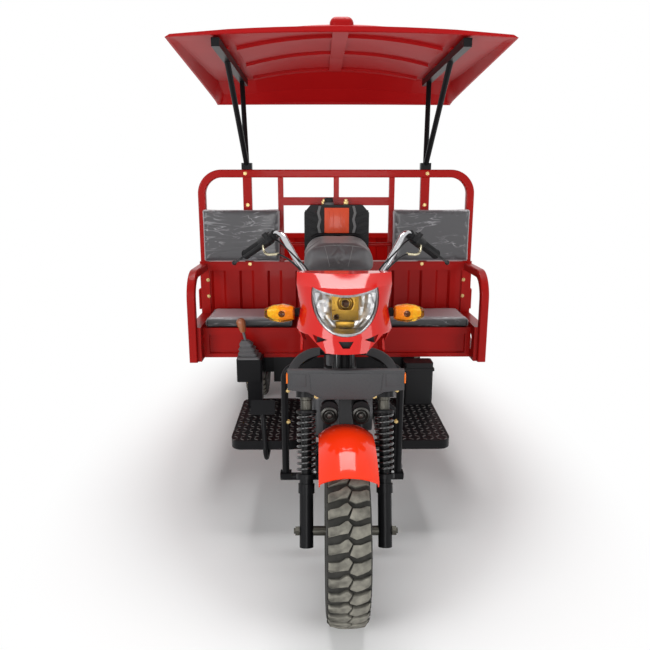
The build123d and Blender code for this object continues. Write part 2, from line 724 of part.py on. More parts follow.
def rear_axle():
    reach = REAR_TRACK / 2 - REAR_HUB / 2 - 6
    axle = rod((-reach, WHEELBASE, AXLE_Z), (reach, WHEELBASE, AXLE_Z), 38)
    axle += Pos(0, WHEELBASE, AXLE_Z) * fillet(Cylinder(105, 150, rotation=(0, 90, 0)).edges(), 40)
    axle += rod((0, WHEELBASE - 165, AXLE_Z), (0, WHEELBASE - 60, AXLE_Z), 52)
    shaft_end = REAR_TRACK / 2 + REAR_HUB / 2 + 4
    axle += rod((-shaft_end, WHEELBASE, AXLE_Z), (shaft_end, WHEELBASE, AXLE_Z), REAR_SHAFT)
    for side in (-1, 1):
        end = Plane(origin=(side * shaft_end, WHEELBASE, AXLE_Z), z_dir=(side, 0, 0))
        axle += extrude(end * RegularPolygon(24, 6), amount=18)
        pad = side * LADDER_HALF
        axle += block((pad - 32, pad + 32), (WHEELBASE - 50, WHEELBASE + 50), (AXLE_Z + 20, AXLE_Z + 50))
    return axle


SPRING_PACK_LOW = AXLE_Z + 50
LEAVES = 5
LEAF = 8.0
LEAF_WIDTH = 56.0
LEAF_SPAN = 370.0
LEAF_RISE = 90.0


def leaf_edge(radius, reach, level):
    """An arc that bows up from its lowest point to both ends of a leaf."""
    rise = radius - (radius ** 2 - reach ** 2) ** 0.5
    return ThreePointArc((-reach, level + rise), (0, level), (reach, level + rise))


def leaf_spring(side):
    """Stacked leaves under one main leaf, each shorter than the one above."""
    pack = Part()
    bow = (LEAF_SPAN ** 2 + LEAF_RISE ** 2) / (2 * LEAF_RISE)
    for index in range(LEAVES):
        reach = LEAF_SPAN * (1 - index * 0.17)
        under = SPRING_PACK_LOW + (LEAVES - 1 - index) * LEAF
        radius = bow + index * LEAF
        low = leaf_edge(radius, reach, under)
        high = leaf_edge(radius - LEAF, reach, under + LEAF)
        ends = [Line(low @ 1, high @ 1), Line(high @ 0, low @ 0)]
        face = Plane.YZ * make_face([low, high, *ends])
        pack += extrude(face, amount=LEAF_WIDTH / 2, both=True)
    place = Pos(side * LADDER_HALF, WHEELBASE, 0)
    return place * pack


LEAF_END_Z = SPRING_PACK_LOW + LEAVES * LEAF + LEAF_RISE + 4


def spring_hanger(side, end):
    """Bracket under the ladder that takes one end of a leaf spring."""
    y = WHEELBASE + end * (LEAF_SPAN - 14)
    x = side * LADDER_HALF
    low = BOX_BOTTOM - LADDER_HEIGHT
    return block((x - LEAF_WIDTH / 2, x + LEAF_WIDTH / 2), (y - 24, y + 24), (LEAF_END_Z, low + 1))


save("rear_axle", rear_axle(), drive_shaft())
ladder = ladder_frame()
for side in (-1, 1):
    for end in (-1, 1):
        ladder += spring_hanger(side, end)
save("ladder_frame", ladder)
save("leaf_springs", [leaf_spring(side) for side in (-1, 1)])

# Footboards, pedal, gear lever and battery box


def footboard():
    middle = (BOARD_HALF + BOARD_INNER) / 2
    width = BOARD_HALF - BOARD_INNER
    plan = Pos(middle, (BOARD_FRONT + BOARD_REAR) / 2) * RectangleRounded(width, BOARD_REAR - BOARD_FRONT, 46)
    board = Pos(0, 0, BOARD_TOP - BOARD_DEPTH) * extrude(plan, amount=BOARD_DEPTH)
    hollow = Pos(0, 0, BOARD_TOP - BOARD_DEPTH) * extrude(offset(plan, -4), amount=BOARD_DEPTH - 4)
    return board - hollow


def brake_pedal():
    arm = 9
    under = CRADLE_Z - TUBE - arm - FIT
    x = -287
    top = (x - 13, BOARD_FRONT + 18, BOARD_TOP + 116)
    points = [(x, BOARD_FRONT + 80, under), (x, BOARD_FRONT - 34, under), top]
    tread = fillet(Box(93, 16, 56).edges().filter_by(Axis.Y), 5)
    pad = Pos(x - 13, BOARD_FRONT + 22, BOARD_TOP + 128) * Rot(-28, 0, 0) * tread
    return pipe(points, 40, Circle(arm)) + pad


CONSOLE = ((-446.0, -333.0), (850.0, 950.0), (508.0, 609.0))  # low and high along X, Y and Z


def gear_console():
    x, y, z = CONSOLE
    post = block((x[1] - 68, x[1] - 4), (y[0] + 20, y[1] - 20), (BOARD_TOP, z[0] + 1))
    return fillet(block(x, y, z).edges().filter_by(Axis.Z), 10) + post


GEAR_FOOT = Vector(-392, 900, CONSOLE[2][1] + FIT)
GEAR_TOP = Vector(-428, 890, CONSOLE[2][1] + 174)
GEAR_ROD = 6.0


def gear_boot():
    """Bellows of rubber: rows of rise and width, leaning with the lever."""
    rows = ((0, 100), (8, 100), (12, 74), (22, 86), (32, 62), (42, 74), (52, 50), (62, 60), (78, 34))
    along = (GEAR_TOP - GEAR_FOOT) / (GEAR_TOP - GEAR_FOOT).Z
    sections = [Location(GEAR_FOOT + along * rise) * RectangleRounded(size, size, 12) for rise, size in rows]
    return loft(sections, ruled=True) - rod(GEAR_FOOT - along, GEAR_TOP, GEAR_ROD + FIT)


def gear_lever():
    along = (GEAR_TOP - GEAR_FOOT).normalized()
    knob = Plane(origin=GEAR_TOP, z_dir=along)
    rows = ((-56, 9), (-16, 17), (0, 11))  # place along the lever and radius
    handle = loft([knob * Pos(0, 0, shift) * Circle(radius) for shift, radius in rows])
    return rod(GEAR_FOOT + along * GEAR_ROD * 0.3, GEAR_TOP - along * 40, GEAR_ROD) + handle


def battery_box():
    body = block((298, 424), (872, 956), (BOARD_TOP, BOX_BOTTOM - 4))
    lid = block((294, 428), (868, 960), (BOX_BOTTOM - 40, BOX_BOTTOM - 28))
    return fillet(body.edges().filter_by(Axis.Z), 10) + lid


def splash_panel():
    y = (LADDER_FRONT - FIT - 4, LADDER_FRONT - FIT)
    panel = block((-290, 290), y, (BOX_BOTTOM - 116, BOX_BOTTOM))
    panel -= rod(SPINE[1], SPINE[2], SPINE_RADIUS + 4)
    for side in (-1, 1):
        x = side * CRADLE_HALF
        top = (x, LADDER_FRONT + 20, BOX_BOTTOM - LADDER_HEIGHT / 2)
        panel -= rod((x, LADDER_FRONT - 60, CRADLE_Z), top, TUBE + 4)
    return panel


save("footboards", both(footboard()))
save("brake_pedal", brake_pedal())
save("gear_console", gear_console())
save("gear_lever", gear_boot(), gear_lever())
save("battery_box", battery_box())
save("splash_panel", splash_panel())

# Passenger bench and rider's seat


def bench_base():
    rear = BOX_FRONT - FIT
    body = block((-BENCH_HALF, BENCH_HALF), (BENCH_FRONT, rear), (BOX_BOTTOM, BENCH_TOP))
    half = BENCH_HALF - 24
    panel = block((-half, half), (BENCH_FRONT - 1, BENCH_FRONT + 14), (BOX_BOTTOM + 18, BENCH_TOP - 32))
    inner = BENCH_HALF - 6
    under = block((-inner, inner), (BENCH_FRONT + 20, rear - 6), (BOX_BOTTOM - 1, BENCH_TOP - 6))
    return body - panel - under


def bench_arm():
    x = HALF - ARM_TUBE / 2
    front = ARM_FRONT + ARM_TUBE / 2
    points = [(x, BOX_FRONT - FIT, ARM_Z), (x, front, ARM_Z), (x, front, BOX_BOTTOM)]
    arm = pipe(points, ARM_BEND, square(ARM_TUBE), across=(1, 0, 0))
    panel_x = (BENCH_HALF - 1, HALF)
    y = (front, BOX_FRONT - FIT)
    panel = block(panel_x, y, (BOX_BOTTOM, BENCH_TOP + 18))
    slot = Pos(x, (y[0] + y[1]) / 2, (BOX_BOTTOM + BENCH_TOP) / 2 + 6) * Rot(0, 90, 0)
    panel -= slot * extrude(RectangleRounded(70, y[1] - y[0] - 100, 18), amount=200, both=True)
    return arm + panel


def bench_cushion():
    low = BENCH_TOP + FIT
    y = (BENCH_FRONT - 8, BOX_FRONT - 8)
    shape = block((CUSHION_INNER, BENCH_HALF - 2), y, (low, low + CUSHION_RISE))
    return fillet(shape.edges().filter_by(Axis.Z), 18)


def backrest():
    y = (BOX_FRONT - BACK_DEEP, BOX_FRONT + 4 - FIT)
    shape = block((BACK_INNER, BACK_OUTER), y, (BACK_LOW, BACK_HIGH))
    return fillet(shape.edges().filter_by(Axis.Y), 18)


def rider_seat():
    middle = (SEAT_FRONT + SEAT_REAR) / 2
    length = SEAT_REAR - SEAT_FRONT
    foot = Pos(0, middle, SEAT_LOW) * RectangleRounded(2 * SEAT_HALF - 30, length - 20, 60)
    body = Pos(0, middle, SEAT_LOW + 70) * RectangleRounded(2 * SEAT_HALF, length, 70)
    top = Pos(0, middle + 10, SEAT_HIGH) * RectangleRounded(2 * SEAT_HALF - 50, length - 50, 60)
    return loft([foot, body, top], ruled=True)


def seat_pedestal():
    low = BENCH_TOP + FIT
    return block((-136, 136), (BENCH_FRONT - 70, SEAT_REAR + 20), (low, SEAT_LOW - FIT))


TANK_LOW = SPINE[0][2] + SPINE_RADIUS + FIT


def fuel_tank():
    rows = ((470, 92, 150), (600, 140, 178), (772, 104, 164))  # station, half width, height
    sections = []
    for y, half, height in rows:
        middle = TANK_LOW + height / 2
        sections.append(Pos(0, y, middle) * (Plane.XZ * RectangleRounded(2 * half, height, 40)))
    cap = Pos(0, 600, TANK_LOW + 178) * Cylinder(30, 16)
    return loft(sections) + cap


def tank_shroud():
    """Side cover from the flank of the tank down and forward to the leg guard."""
    upper = ((352, 786), (430, 868), (560, 912), (690, 905))  # station and height
    lower = ((640, 800), (520, 740), (372, 742))
    outline = Polyline(*upper, *lower, close=True)
    flank = fuel_tank().bounding_box().max.X
    return Pos(flank + FIT, 0, 0) * extrude(Plane.YZ * make_face(outline), amount=8)


def grab_rail():
    y = SEAT_REAR + 10
    foot = SEAT_LOW
    points = [(118, y, foot), (118, y, SEAT_HIGH + 18), (-118, y, SEAT_HIGH + 18), (-118, y, foot)]
    return pipe(points, 40, Circle(8))


RESERVE_HALF = 150.0
RESERVE_TOP = 1264.0
RESERVE_REAR = RAIL_Y - RAIL_BAR / 2 - FIT


def reserve_tank():
    low = WALL_TOP + FIT
    corners = ((RESERVE_HALF, low), (RESERVE_HALF, RESERVE_TOP - 34), (RESERVE_HALF - 30, RESERVE_TOP))
    mirrored = [(-x, z) for x, z in reversed(corners)]
    outline = make_face(Polyline(*corners, *mirrored, close=True))
    can = Pos(0, RESERVE_REAR, 0) * extrude(Plane.XZ * outline, amount=80)
    neck = Pos(-36, RESERVE_REAR - 40, RESERVE_TOP) * Cylinder(17, 36)
    return can + neck


def reserve_panel():
    front = RESERVE_REAR - 80 - FIT
    panel = block((-56, 56), (front - 6, front), (SEAT_HIGH - 20, RESERVE_TOP - 14))
    return fillet(panel.edges().filter_by(Axis.Y), 8)


def tank_stay():
    bar = 9
    y = RESERVE_REAR - bar
    return rod((RESERVE_HALF + FIT, y, 1077), (RAIL_POSTS[0] - 1, y, 1077), bar)


save("fuel_tank", fuel_tank())
save("tank_shrouds", both(tank_shroud()))
save("grab_rail", grab_rail())
save("reserve_tank", reserve_tank(), reserve_panel())
save("bench_frame", bench_base() + bench_arm() + other_side(bench_arm()))
save("bench_cushion_left", bench_cushion())
save("bench_cushion_right", other_side(bench_cushion()))
save("backrest_left", backrest())
save("backrest_right", other_side(backrest()))
save("rider_seat", rider_seat())
save("seat_pedestal", seat_pedestal())

# Load box: front wall, floor, drop sides and tailgate


def fluted_sheet(length, height, thick, depth):
    """Upright pressed sheet, fluted along X and centred on it, standing on Z zero."""
    count = int(length / FLUTE)
    pitch = length / count
    points = [(-length / 2, 0)]
    for index in range(count):
        start = -length / 2 + index * pitch
        for share, level in ((0.06, 0), (0.14, depth), (0.50, depth), (0.58, 0)):
            points.append((start + share * pitch, level))
    points.append((length / 2, 0))
    back = [(x, y + thick) for x, y in reversed(points)]
    return extrude(make_face(Polyline(*points, *back, close=True)), amount=height)


def front_wall():
    y = (BOX_FRONT, BOX_FRONT + POST)
    wall = block((-HALF, HALF), y, (WALL_TOP - POST, WALL_TOP))
    wall += block((-HALF, HALF), y, (BOX_BOTTOM, BOX_BOTTOM + POST))
    for side in (-1, 1):
        x = sorted((side * HALF, side * (HALF - POST)))
        wall += block(x, y, (BOX_BOTTOM, WALL_TOP))
    length = 2 * (HALF - POST) + 4
    height = WALL_TOP - BOX_BOTTOM - 2 * POST + 4
    wall += Pos(0, BOX_FRONT + 8, BOX_BOTTOM + POST - 2) * fluted_sheet(length, height, 4, 12)
    return wall


HINGE_Z = FLOOR_TOP - 20
HINGE_X = HALF - KNUCKLE
HINGE_Y = BOX_REAR - KNUCKLE
HINGE_PIN = 4.0
GATE_LOW = FLOOR_TOP + 5
SIDE_FRONT = BOX_FRONT + POST + SWING
SIDE_REAR = REAR_POST - SWING
FLOOR_EDGE = HALF - KNUCKLE - 39  # leaves room for the turning foot of a gate
LEAF_LENGTH = 60.0
SIDE_LENGTH = SIDE_REAR - SIDE_FRONT
SIDE_HINGES = (-0.36 * SIDE_LENGTH, -0.02 * SIDE_LENGTH, 0.36 * SIDE_LENGTH)
TAIL_HINGES = (-0.32 * BOX_WIDTH, 0.0, 0.32 * BOX_WIDTH)
LEFT_SIDE = Pos(HALF, (SIDE_FRONT + SIDE_REAR) / 2, HINGE_Z) * Rot(0, 0, 90)
RIGHT_SIDE = Pos(-HALF, (SIDE_FRONT + SIDE_REAR) / 2, HINGE_Z) * Rot(0, 0, -90)
TAIL = Pos(0, BOX_REAR, HINGE_Z) * Rot(0, 0, 180)
FIRST_BEARER = BOX_FRONT + POST + 50
LAST_BEARER = REAR_POST - 120
BEARER = 50.0
FLAP_BEARER = FLAP_Y - 22
BEARERS = [FIRST_BEARER + index * (FLAP_BEARER - FIRST_BEARER) / 3 for index in range(4)] + [LAST_BEARER]


def cargo_floor():
    y = (BOX_FRONT + POST + FIT, BOX_REAR - KNUCKLE - 39)
    floor = block((-FLOOR_EDGE, FLOOR_EDGE), y, (FLOOR_TOP - FLOOR_SHEET, FLOOR_TOP))
    for y in BEARERS:
        floor += block((-FLOOR_EDGE + 14, FLOOR_EDGE - 14), (y, y + BEARER), (BOX_BOTTOM, FLOOR_TOP - FLOOR_SHEET))
    for x in SIDE_HINGES:
        floor += LEFT_SIDE * hinge(x, HALF - FLOOR_EDGE + 30)
        floor += RIGHT_SIDE * hinge(x, HALF - FLOOR_EDGE + 30)
    return floor


def rear_posts():
    y = (REAR_POST, REAR_POST + POST)
    frame = block((-HALF, HALF), y, (BOX_BOTTOM, FLOOR_TOP - FLOOR_SHEET))
    for side in (-1, 1):
        x = sorted((side * HALF, side * (HALF - POST)))
        frame += block(x, y, (BOX_BOTTOM, WALL_TOP))
    for x in TAIL_HINGES:
        frame += TAIL * hinge(x, GATE + SWING + 1)
    return frame


LATCH_Z = 170.0


def latch(x, height):
    """Latch handle on the outer face of a gate."""
    base = block((x - 22, x + 22), (-5, 1), (height - 45, height + 45))
    radius = 6
    out = radius - LATCH_REACH
    handle = pipe([(x, -2, height + 30), (x, out, height + 30), (x, out, height - 70)], 8, Circle(radius))
    return base + handle


def gate(length, places):
    """A framed, fluted gate standing along X, outer face on Y zero, hinge line on Z zero."""
    low = GATE_LOW - HINGE_Z
    high = WALL_TOP - HINGE_Z
    rail = 36
    half = length / 2
    panel = block((-half, half), (0, GATE), (low, low + rail))
    panel += block((-half, half), (0, GATE), (high - rail, high))
    for side in (-1, 1):
        panel += block(sorted((side * half, side * (half - rail))), (0, GATE), (low, high))
    sheet = fluted_sheet(length - 2 * rail + 4, high - low - 2 * rail + 4, 4, 12)
    panel += Pos(0, 7, low + rail - 2) * sheet
    for x in places:
        leaf = (x - LEAF_LENGTH / 2, x + LEAF_LENGTH / 2)
        panel += block(leaf, (0, 7), (0, low + rail))
        panel += Pos(x, KNUCKLE, 0) * Rot(0, 90, 0) * Cylinder(KNUCKLE, LEAF_LENGTH)
    for x in places:
        panel -= Pos(x, KNUCKLE, 0) * Rot(0, 90, 0) * Cylinder(HINGE_PIN + RUN, 2 * LEAF_LENGTH)
    for side in (-1, 1):
        panel += latch(side * (half - rail / 2 - 8), LATCH_Z)
    return panel


def hinge(x, reach):
    """Pin and fixed knuckles of one gate hinge, with a tongue reaching inwards."""
    ear = 24
    gap = 1
    shape = Pos(x, KNUCKLE, 0) * Rot(0, 90, 0) * Cylinder(HINGE_PIN, LEAF_LENGTH + 2 * (ear + gap))
    for side in (-1, 1):
        middle = x + side * (LEAF_LENGTH / 2 + gap + ear / 2)
        shape += Pos(middle, KNUCKLE, 0) * Rot(0, 90, 0) * Cylinder(KNUCKLE, ear)
        tongue_low = -16
        tongue_high = FLOOR_TOP - FLOOR_SHEET - HINGE_Z + 1
        shape += block((middle - ear / 2, middle + ear / 2), (KNUCKLE, reach), (tongue_low, tongue_high))
    return shape


save("front_wall", front_wall())
save("cargo_floor", cargo_floor())
save("rear_posts", rear_posts())
side_gate = gate(SIDE_LENGTH, SIDE_HINGES)
save("side_gate_left", LEFT_SIDE * side_gate)
save("side_gate_right", RIGHT_SIDE * side_gate)
save("tailgate", TAIL * gate(BOX_WIDTH, TAIL_HINGES))

# Rear bumper bar with the tow eye, lamps and mud flaps

BUMPER_Z = BOX_BOTTOM - LADDER_HEIGHT - 16
BUMPER_Y = REAR_POST - 10
TOW_HOLE = 13.0
TOW_Y = BUMPER_Y + 31
TOW_THICK = 14.0


def rear_bumper():
    bar = rod((-520, BUMPER_Y, BUMPER_Z), (520, BUMPER_Y, BUMPER_Z), 16)
    half = TOW_THICK / 2
    tongue = block((-45, 45), (BUMPER_Y - 30, TOW_Y + 23), (BUMPER_Z - half, BUMPER_Z + half))
    bar += fillet(tongue.edges().filter_by(Axis.Z), 12)
    bar -= Pos(0, TOW_Y, BUMPER_Z) * Cylinder(TOW_HOLE, 100)
    return bar


def tail_lamp():
    low = BUMPER_Y + 16 + FIT
    lamp = block((380, 500), (low, low + 28), (BUMPER_Z - 38, BUMPER_Z + 38))
    return fillet(lamp.edges().filter_by(Axis.Y), 10)


def mud_flap():
    x = REAR_TRACK / 2
    drop = 340
    y = (FLAP_Y, FLAP_Y + 6)
    return block((x - TYRE_WIDTH / 2, x + TYRE_WIDTH / 2), y, (BOX_BOTTOM - drop, BOX_BOTTOM))


save("rear_bumper", rear_bumper())
save("tail_lamps", both(tail_lamp()))
save("mud_flaps", both(mud_flap()))

# Guard rail and canopy


def guard_rail():
    x = HALF - POST / 2
    top = RAIL_TOP - RAIL_TUBE / 2
    points = [(x, RAIL_Y, WALL_TOP), (x, RAIL_Y, top), (-x, RAIL_Y, top), (-x, RAIL_Y, WALL_TOP)]
    return pipe(points, RAIL_BEND, square(RAIL_TUBE), across=(0, 1, 0))


def rail_bars():
    half = RAIL_BAR / 2
    top = RAIL_TOP - RAIL_TUBE + 1
    bars = Part()
    y = (RAIL_Y - half, RAIL_Y + half)
    for side in (-1, 1):
        for x in RAIL_POSTS:
            wide = half if x == RAIL_POSTS[0] else half + 8
            bars += block((side * x - wide, side * x + wide), y, (WALL_TOP, top))
    inner = RAIL_POSTS[0]
    bars += block((-inner, inner), y, (RAIL_MIDDLE - 19, RAIL_MIDDLE + 19))
    bars += block((-half, half), y, (RAIL_MIDDLE, top))
    return bars


BEAM_TOP = CANOPY_CEILING - 4
BEAM_REAR = 1540.0
RIBS = (842.0, 1180.0, 1500.0)  # stations of the cross ribs under the roof
CROWN_HALF = 400.0  # half width of the arched middle of the roof
SILL_RISE = 21.0  # arch of the lower edge of the front lip
RIB_DEPTH = 10.0
RUN_OUT = 30.0  # of a cutting form below the lower edge
CANOPY_ROWS = (
    (CANOPY_FRONT, -10.0, 604.0, 0.0, 16.0, 27.0),
    (680.0, -17.0, 604.0, 4.0, 12.0, 54.0),
    (1280.0, -57.0, 600.0, 0.0, 10.0, 64.0),
    (1560.0, -77.0, 592.0, 0.0, 8.0, 44.0),
    (CANOPY_REAR - 70, -87.0, 584.0, -46.0, -38.0, -18.0),
    (CANOPY_REAR, -98.0, 604.0, -84.0, -80.0, -76.0),
)  # station; edge height; shoulder reach and height; height beside the crown, and of the crown


def canopy_form(inset):
    """Roof form between its rows; drawn in from the outer face by inset, it also runs out below."""
    sections = []
    last = len(CANOPY_ROWS) - 1
    for index, (y, edge, reach, shoulder, flank, crown) in enumerate(CANOPY_ROWS):
        y += inset * ((index == 0) - (index == last))
        low = CANOPY_CEILING + edge
        top = CANOPY_CEILING - inset
        side = [(CANOPY_HALF - inset, low), (reach - inset, top + shoulder), (CROWN_HALF, top + flank)]
        if inset:
            side.insert(0, (CANOPY_HALF - inset, low - RUN_OUT))
        other = [(-x, z) for x, z in reversed(side)]
        dome = ThreePointArc(side[-1], (0, top + crown), other[0])
        arch = SILL_RISE if index == 0 and not inset else SILL_RISE / 10
        sill = ThreePointArc(other[-1], (0, side[0][1] + arch), side[0])
        outline = [Polyline(*side), dome, Polyline(*other), sill]
        sections.append(Pos(0, y, 0) * (Plane.XZ * make_face(outline)))
    return loft(sections, ruled=True)


def canopy_roof():
    """Shell with a middle rib and cross ribs that follow its ceiling, and pads on the beams."""
    body = canopy_form(CANOPY_WALL / 2)
    strips = block((-30, 30), (CANOPY_FRONT + 40, RIBS[-1]), (BEAM_TOP, 2 * BEAM_TOP))
    pads = Part()
    for y in RIBS:
        strips += block((-CROWN_HALF, CROWN_HALF), (y - 16, y + 16), (BEAM_TOP - 60, 2 * BEAM_TOP))
        for side in (-1, 1):
            x = side * BEAM_HALF
            pads += block((x - 20, x + 20), (y - 30, y + 30), (BEAM_TOP + FIT, 2 * BEAM_TOP))
    ceiling = canopy_form(CANOPY_WALL)
    shell = canopy_form(0) - ceiling
    shell += (strips & body) - Pos(0, 0, -RIB_DEPTH) * ceiling
    shell += pads & body
    bump = Pos(0, CANOPY_FRONT + 90, CANOPY_CEILING + 40) * fillet(Box(86, 110, 60).edges(), 24)
    return shell + (bump - body)


def canopy_frame():
    half = BEAM / 2
    beam_z = BEAM_TOP - half
    pieces = Part()
    for side in (-1, 1):
        x = side * BEAM_HALF
        pieces += block((x - half, x + half), (CANOPY_FRONT + 30, BEAM_REAR), (beam_z - half, beam_z + half))
        for y in (900, 1420):
            foot = (side * RAIL_POSTS[1], RAIL_Y, RAIL_TOP + 14)
            pieces += rod(foot, (x, y, beam_z), 12)
        pieces += block((foot[0] - 24, foot[0] + 24), (RAIL_Y - 18, RAIL_Y + 18), (RAIL_TOP + FIT, RAIL_TOP + 30))
    return pieces


save("guard_rail", guard_rail() + rail_bars(), both(tank_stay()))
save("canopy_roof", canopy_roof())
save("canopy_frame", canopy_frame())

os.makedirs("parts", exist_ok=True)
for name, solids in NODES.items():
    placed = [solid.moved(Location((0, -MID_LENGTH, 0))) for solid in solids]
    export_step(Compound(placed), "parts/" + name + ".step")
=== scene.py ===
import bpy
import bmesh
from math import cos, pi, radians, sin
from mathutils import Matrix, Vector, noise
from mathutils.bvhtree import BVHTree


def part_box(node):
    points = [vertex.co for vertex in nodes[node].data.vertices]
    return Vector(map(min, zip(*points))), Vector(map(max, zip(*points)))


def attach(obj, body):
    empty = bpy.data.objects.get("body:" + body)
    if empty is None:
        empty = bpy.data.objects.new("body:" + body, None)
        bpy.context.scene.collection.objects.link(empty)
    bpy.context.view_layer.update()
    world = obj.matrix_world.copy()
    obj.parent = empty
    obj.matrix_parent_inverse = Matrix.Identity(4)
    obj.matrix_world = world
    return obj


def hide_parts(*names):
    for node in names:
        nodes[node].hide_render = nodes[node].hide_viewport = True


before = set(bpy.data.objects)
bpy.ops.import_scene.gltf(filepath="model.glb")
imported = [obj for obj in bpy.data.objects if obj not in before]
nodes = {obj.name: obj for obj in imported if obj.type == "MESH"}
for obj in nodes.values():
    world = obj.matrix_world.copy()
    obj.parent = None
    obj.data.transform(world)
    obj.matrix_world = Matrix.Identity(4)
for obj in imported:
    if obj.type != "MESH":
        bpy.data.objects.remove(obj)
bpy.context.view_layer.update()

# Camera at the photograph's viewing angle, in front of the machine and a little above it.
# The lens and tilt come from the machine's own sizes.
AXLE_Y = -1.407  # front axle, along Y
eye = bpy.data.cameras.new("eye")
eye.lens = 34.81
eye.sensor_width = 36.0
eye.shift_y = 0.0135
camera = bpy.data.objects.new("eye", eye)
camera.location = (-0.085, AXLE_Y - 1.801, 1.355)
camera.rotation_euler = (radians(90 - 13.34), 0, radians(-0.60))
bpy.context.collection.objects.link(camera)
bpy.context.scene.camera = camera
bpy.context.scene.view_settings.view_transform = "Standard"


# Plain white studio: a floor that keeps the shadow and turns white at its edge,
# a white surround, and large soft lamps.
def new_material(name):
    material = bpy.data.materials.new(name)
    material.use_nodes = True
    return material, material.node_tree.nodes, material.node_tree.links


def seen_rays(shader, link):
    """One where the camera, a mirror or a lens looks at the background, and zero for other light."""
    path = shader.new("ShaderNodeLightPath")
    bent = shader.new("ShaderNodeMath")
    bent.operation = "MAXIMUM"
    seen = shader.new("ShaderNodeMath")
    seen.operation = "MAXIMUM"
    link.new(path.outputs["Is Glossy Ray"], bent.inputs[0])
    link.new(path.outputs["Is Transmission Ray"], bent.inputs[1])
    link.new(path.outputs["Is Camera Ray"], seen.inputs[0])
    link.new(bent.outputs[0], seen.inputs[1])
    return seen.outputs[0]


def studio_floor():
    material, shader, link = new_material("studio_floor")
    shader.clear()
    out = shader.new("ShaderNodeOutputMaterial")
    lit = shader.new("ShaderNodeBsdfDiffuse")
    lit.inputs["Color"].default_value = (0.86, 0.86, 0.86, 1)
    glow = shader.new("ShaderNodeEmission")
    strength = shader.new("ShaderNodeMath")
    strength.operation = "MULTIPLY"
    strength.inputs[1].default_value = 0.06
    both = shader.new("ShaderNodeAddShader")
    place = shader.new("ShaderNodeTexCoord")
    oval = shader.new("ShaderNodeVectorMath")
    oval.operation = "MULTIPLY"
    oval.inputs[1].default_value = (1.5, 0.8, 1.0)
    reach = shader.new("ShaderNodeVectorMath")
    reach.operation = "LENGTH"
    edge = shader.new("ShaderNodeMapRange")
    edge.inputs["From Min"].default_value = 1.2
    edge.inputs["From Max"].default_value = 2.0
    white = shader.new("ShaderNodeEmission")
    far = shader.new("ShaderNodeMixShader")
    link.new(seen_rays(shader, link), strength.inputs[0])
    link.new(strength.outputs[0], glow.inputs["Strength"])
    link.new(lit.outputs[0], both.inputs[0])
    link.new(glow.outputs[0], both.inputs[1])
    link.new(place.outputs["Object"], oval.inputs[0])
    link.new(oval.outputs["Vector"], reach.inputs[0])
    link.new(reach.outputs["Value"], edge.inputs["Value"])
    link.new(edge.outputs["Result"], far.inputs["Fac"])
    link.new(both.outputs[0], far.inputs[1])
    link.new(white.outputs[0], far.inputs[2])
    link.new(far.outputs[0], out.inputs["Surface"])
    return material


ground = bmesh.new()
bmesh.ops.create_circle(ground, cap_ends=True, segments=64, radius=9.0)
ground_mesh = bpy.data.meshes.new("floor")
ground.to_mesh(ground_mesh)
ground.free()
ground_mesh.materials.append(studio_floor())
floor = bpy.data.objects.new("floor", ground_mesh)
bpy.context.collection.objects.link(floor)

surround = bpy.data.worlds.new("surround")
surround.use_nodes = True
bpy.context.scene.world = surround
sky = surround.node_tree.nodes
sky["Background"].inputs["Color"].default_value = (1, 1, 1, 1)
level = sky.new("ShaderNodeMapRange")
level.inputs["To Min"].default_value = 0.20
level.inputs["To Max"].default_value = 1.0
surround.node_tree.links.new(seen_rays(sky, surround.node_tree.links), level.inputs["Value"])
surround.node_tree.links.new(level.outputs["Result"], sky["Background"].inputs["Strength"])

for name, place, target, size, power in (
    ("key", (-2.8, -4.2, 1.9), (0, -0.8, 0.9), 1.8, 72),
    ("fill", (3.4, -3.6, 1.8), (0, -0.4, 0.9), 2.0, 46),
    ("top", (0, 0.5, 6.0), (0, 0, 0), 3.4, 340),
    ("low", (0, -4.8, 1.0), (0, -0.8, 0.8), 1.5, 36),
):
    lamp = bpy.data.lights.new(name, "AREA")
    lamp.size = size
    lamp.energy = power
    holder = bpy.data.objects.new(name, lamp)
    holder.location = place
    holder.rotation_euler = (Vector(target) - Vector(place)).to_track_quat("-Z", "Y").to_euler()
    bpy.context.collection.objects.link(holder)


# Gloss enamel on the steel: red on the load box, bench, rail, canopy and mudguard, black on the frame.
# Sprayed over pressed and welded sheet, with a faint orange-peel ripple and a film that darkens in patches.
def piece_noise(shader, link, scale, detail=2.0):
    """A noise pattern that is fixed to its piece."""
    place = shader.new("ShaderNodeTexCoord")
    pattern = shader.new("ShaderNodeTexNoise")
    pattern.inputs["Scale"].default_value = scale
    pattern.inputs["Detail"].default_value = detail
    link.new(place.outputs["Object"], pattern.inputs["Vector"])
    return pattern.outputs["Fac"]


def two_tone(shader, link, share, first, second):
    """Colour a surface by blending two colours."""
    tone = shader.new("ShaderNodeMix")
    tone.data_type = "RGBA"
    tone.inputs["A"].default_value = (*first, 1)
    tone.inputs["B"].default_value = (*second, 1)
    link.new(share, tone.inputs["Factor"])
    link.new(tone.outputs["Result"], shader["Principled BSDF"].inputs["Base Color"])


def relief(shader, link, height, strength, distance):
    """Raise a surface by a height pattern."""
    bump = shader.new("ShaderNodeBump")
    bump.inputs["Strength"].default_value = strength
    bump.inputs["Distance"].default_value = distance
    link.new(height, bump.inputs["Height"])
    link.new(bump.outputs["Normal"], shader["Principled BSDF"].inputs["Normal"])


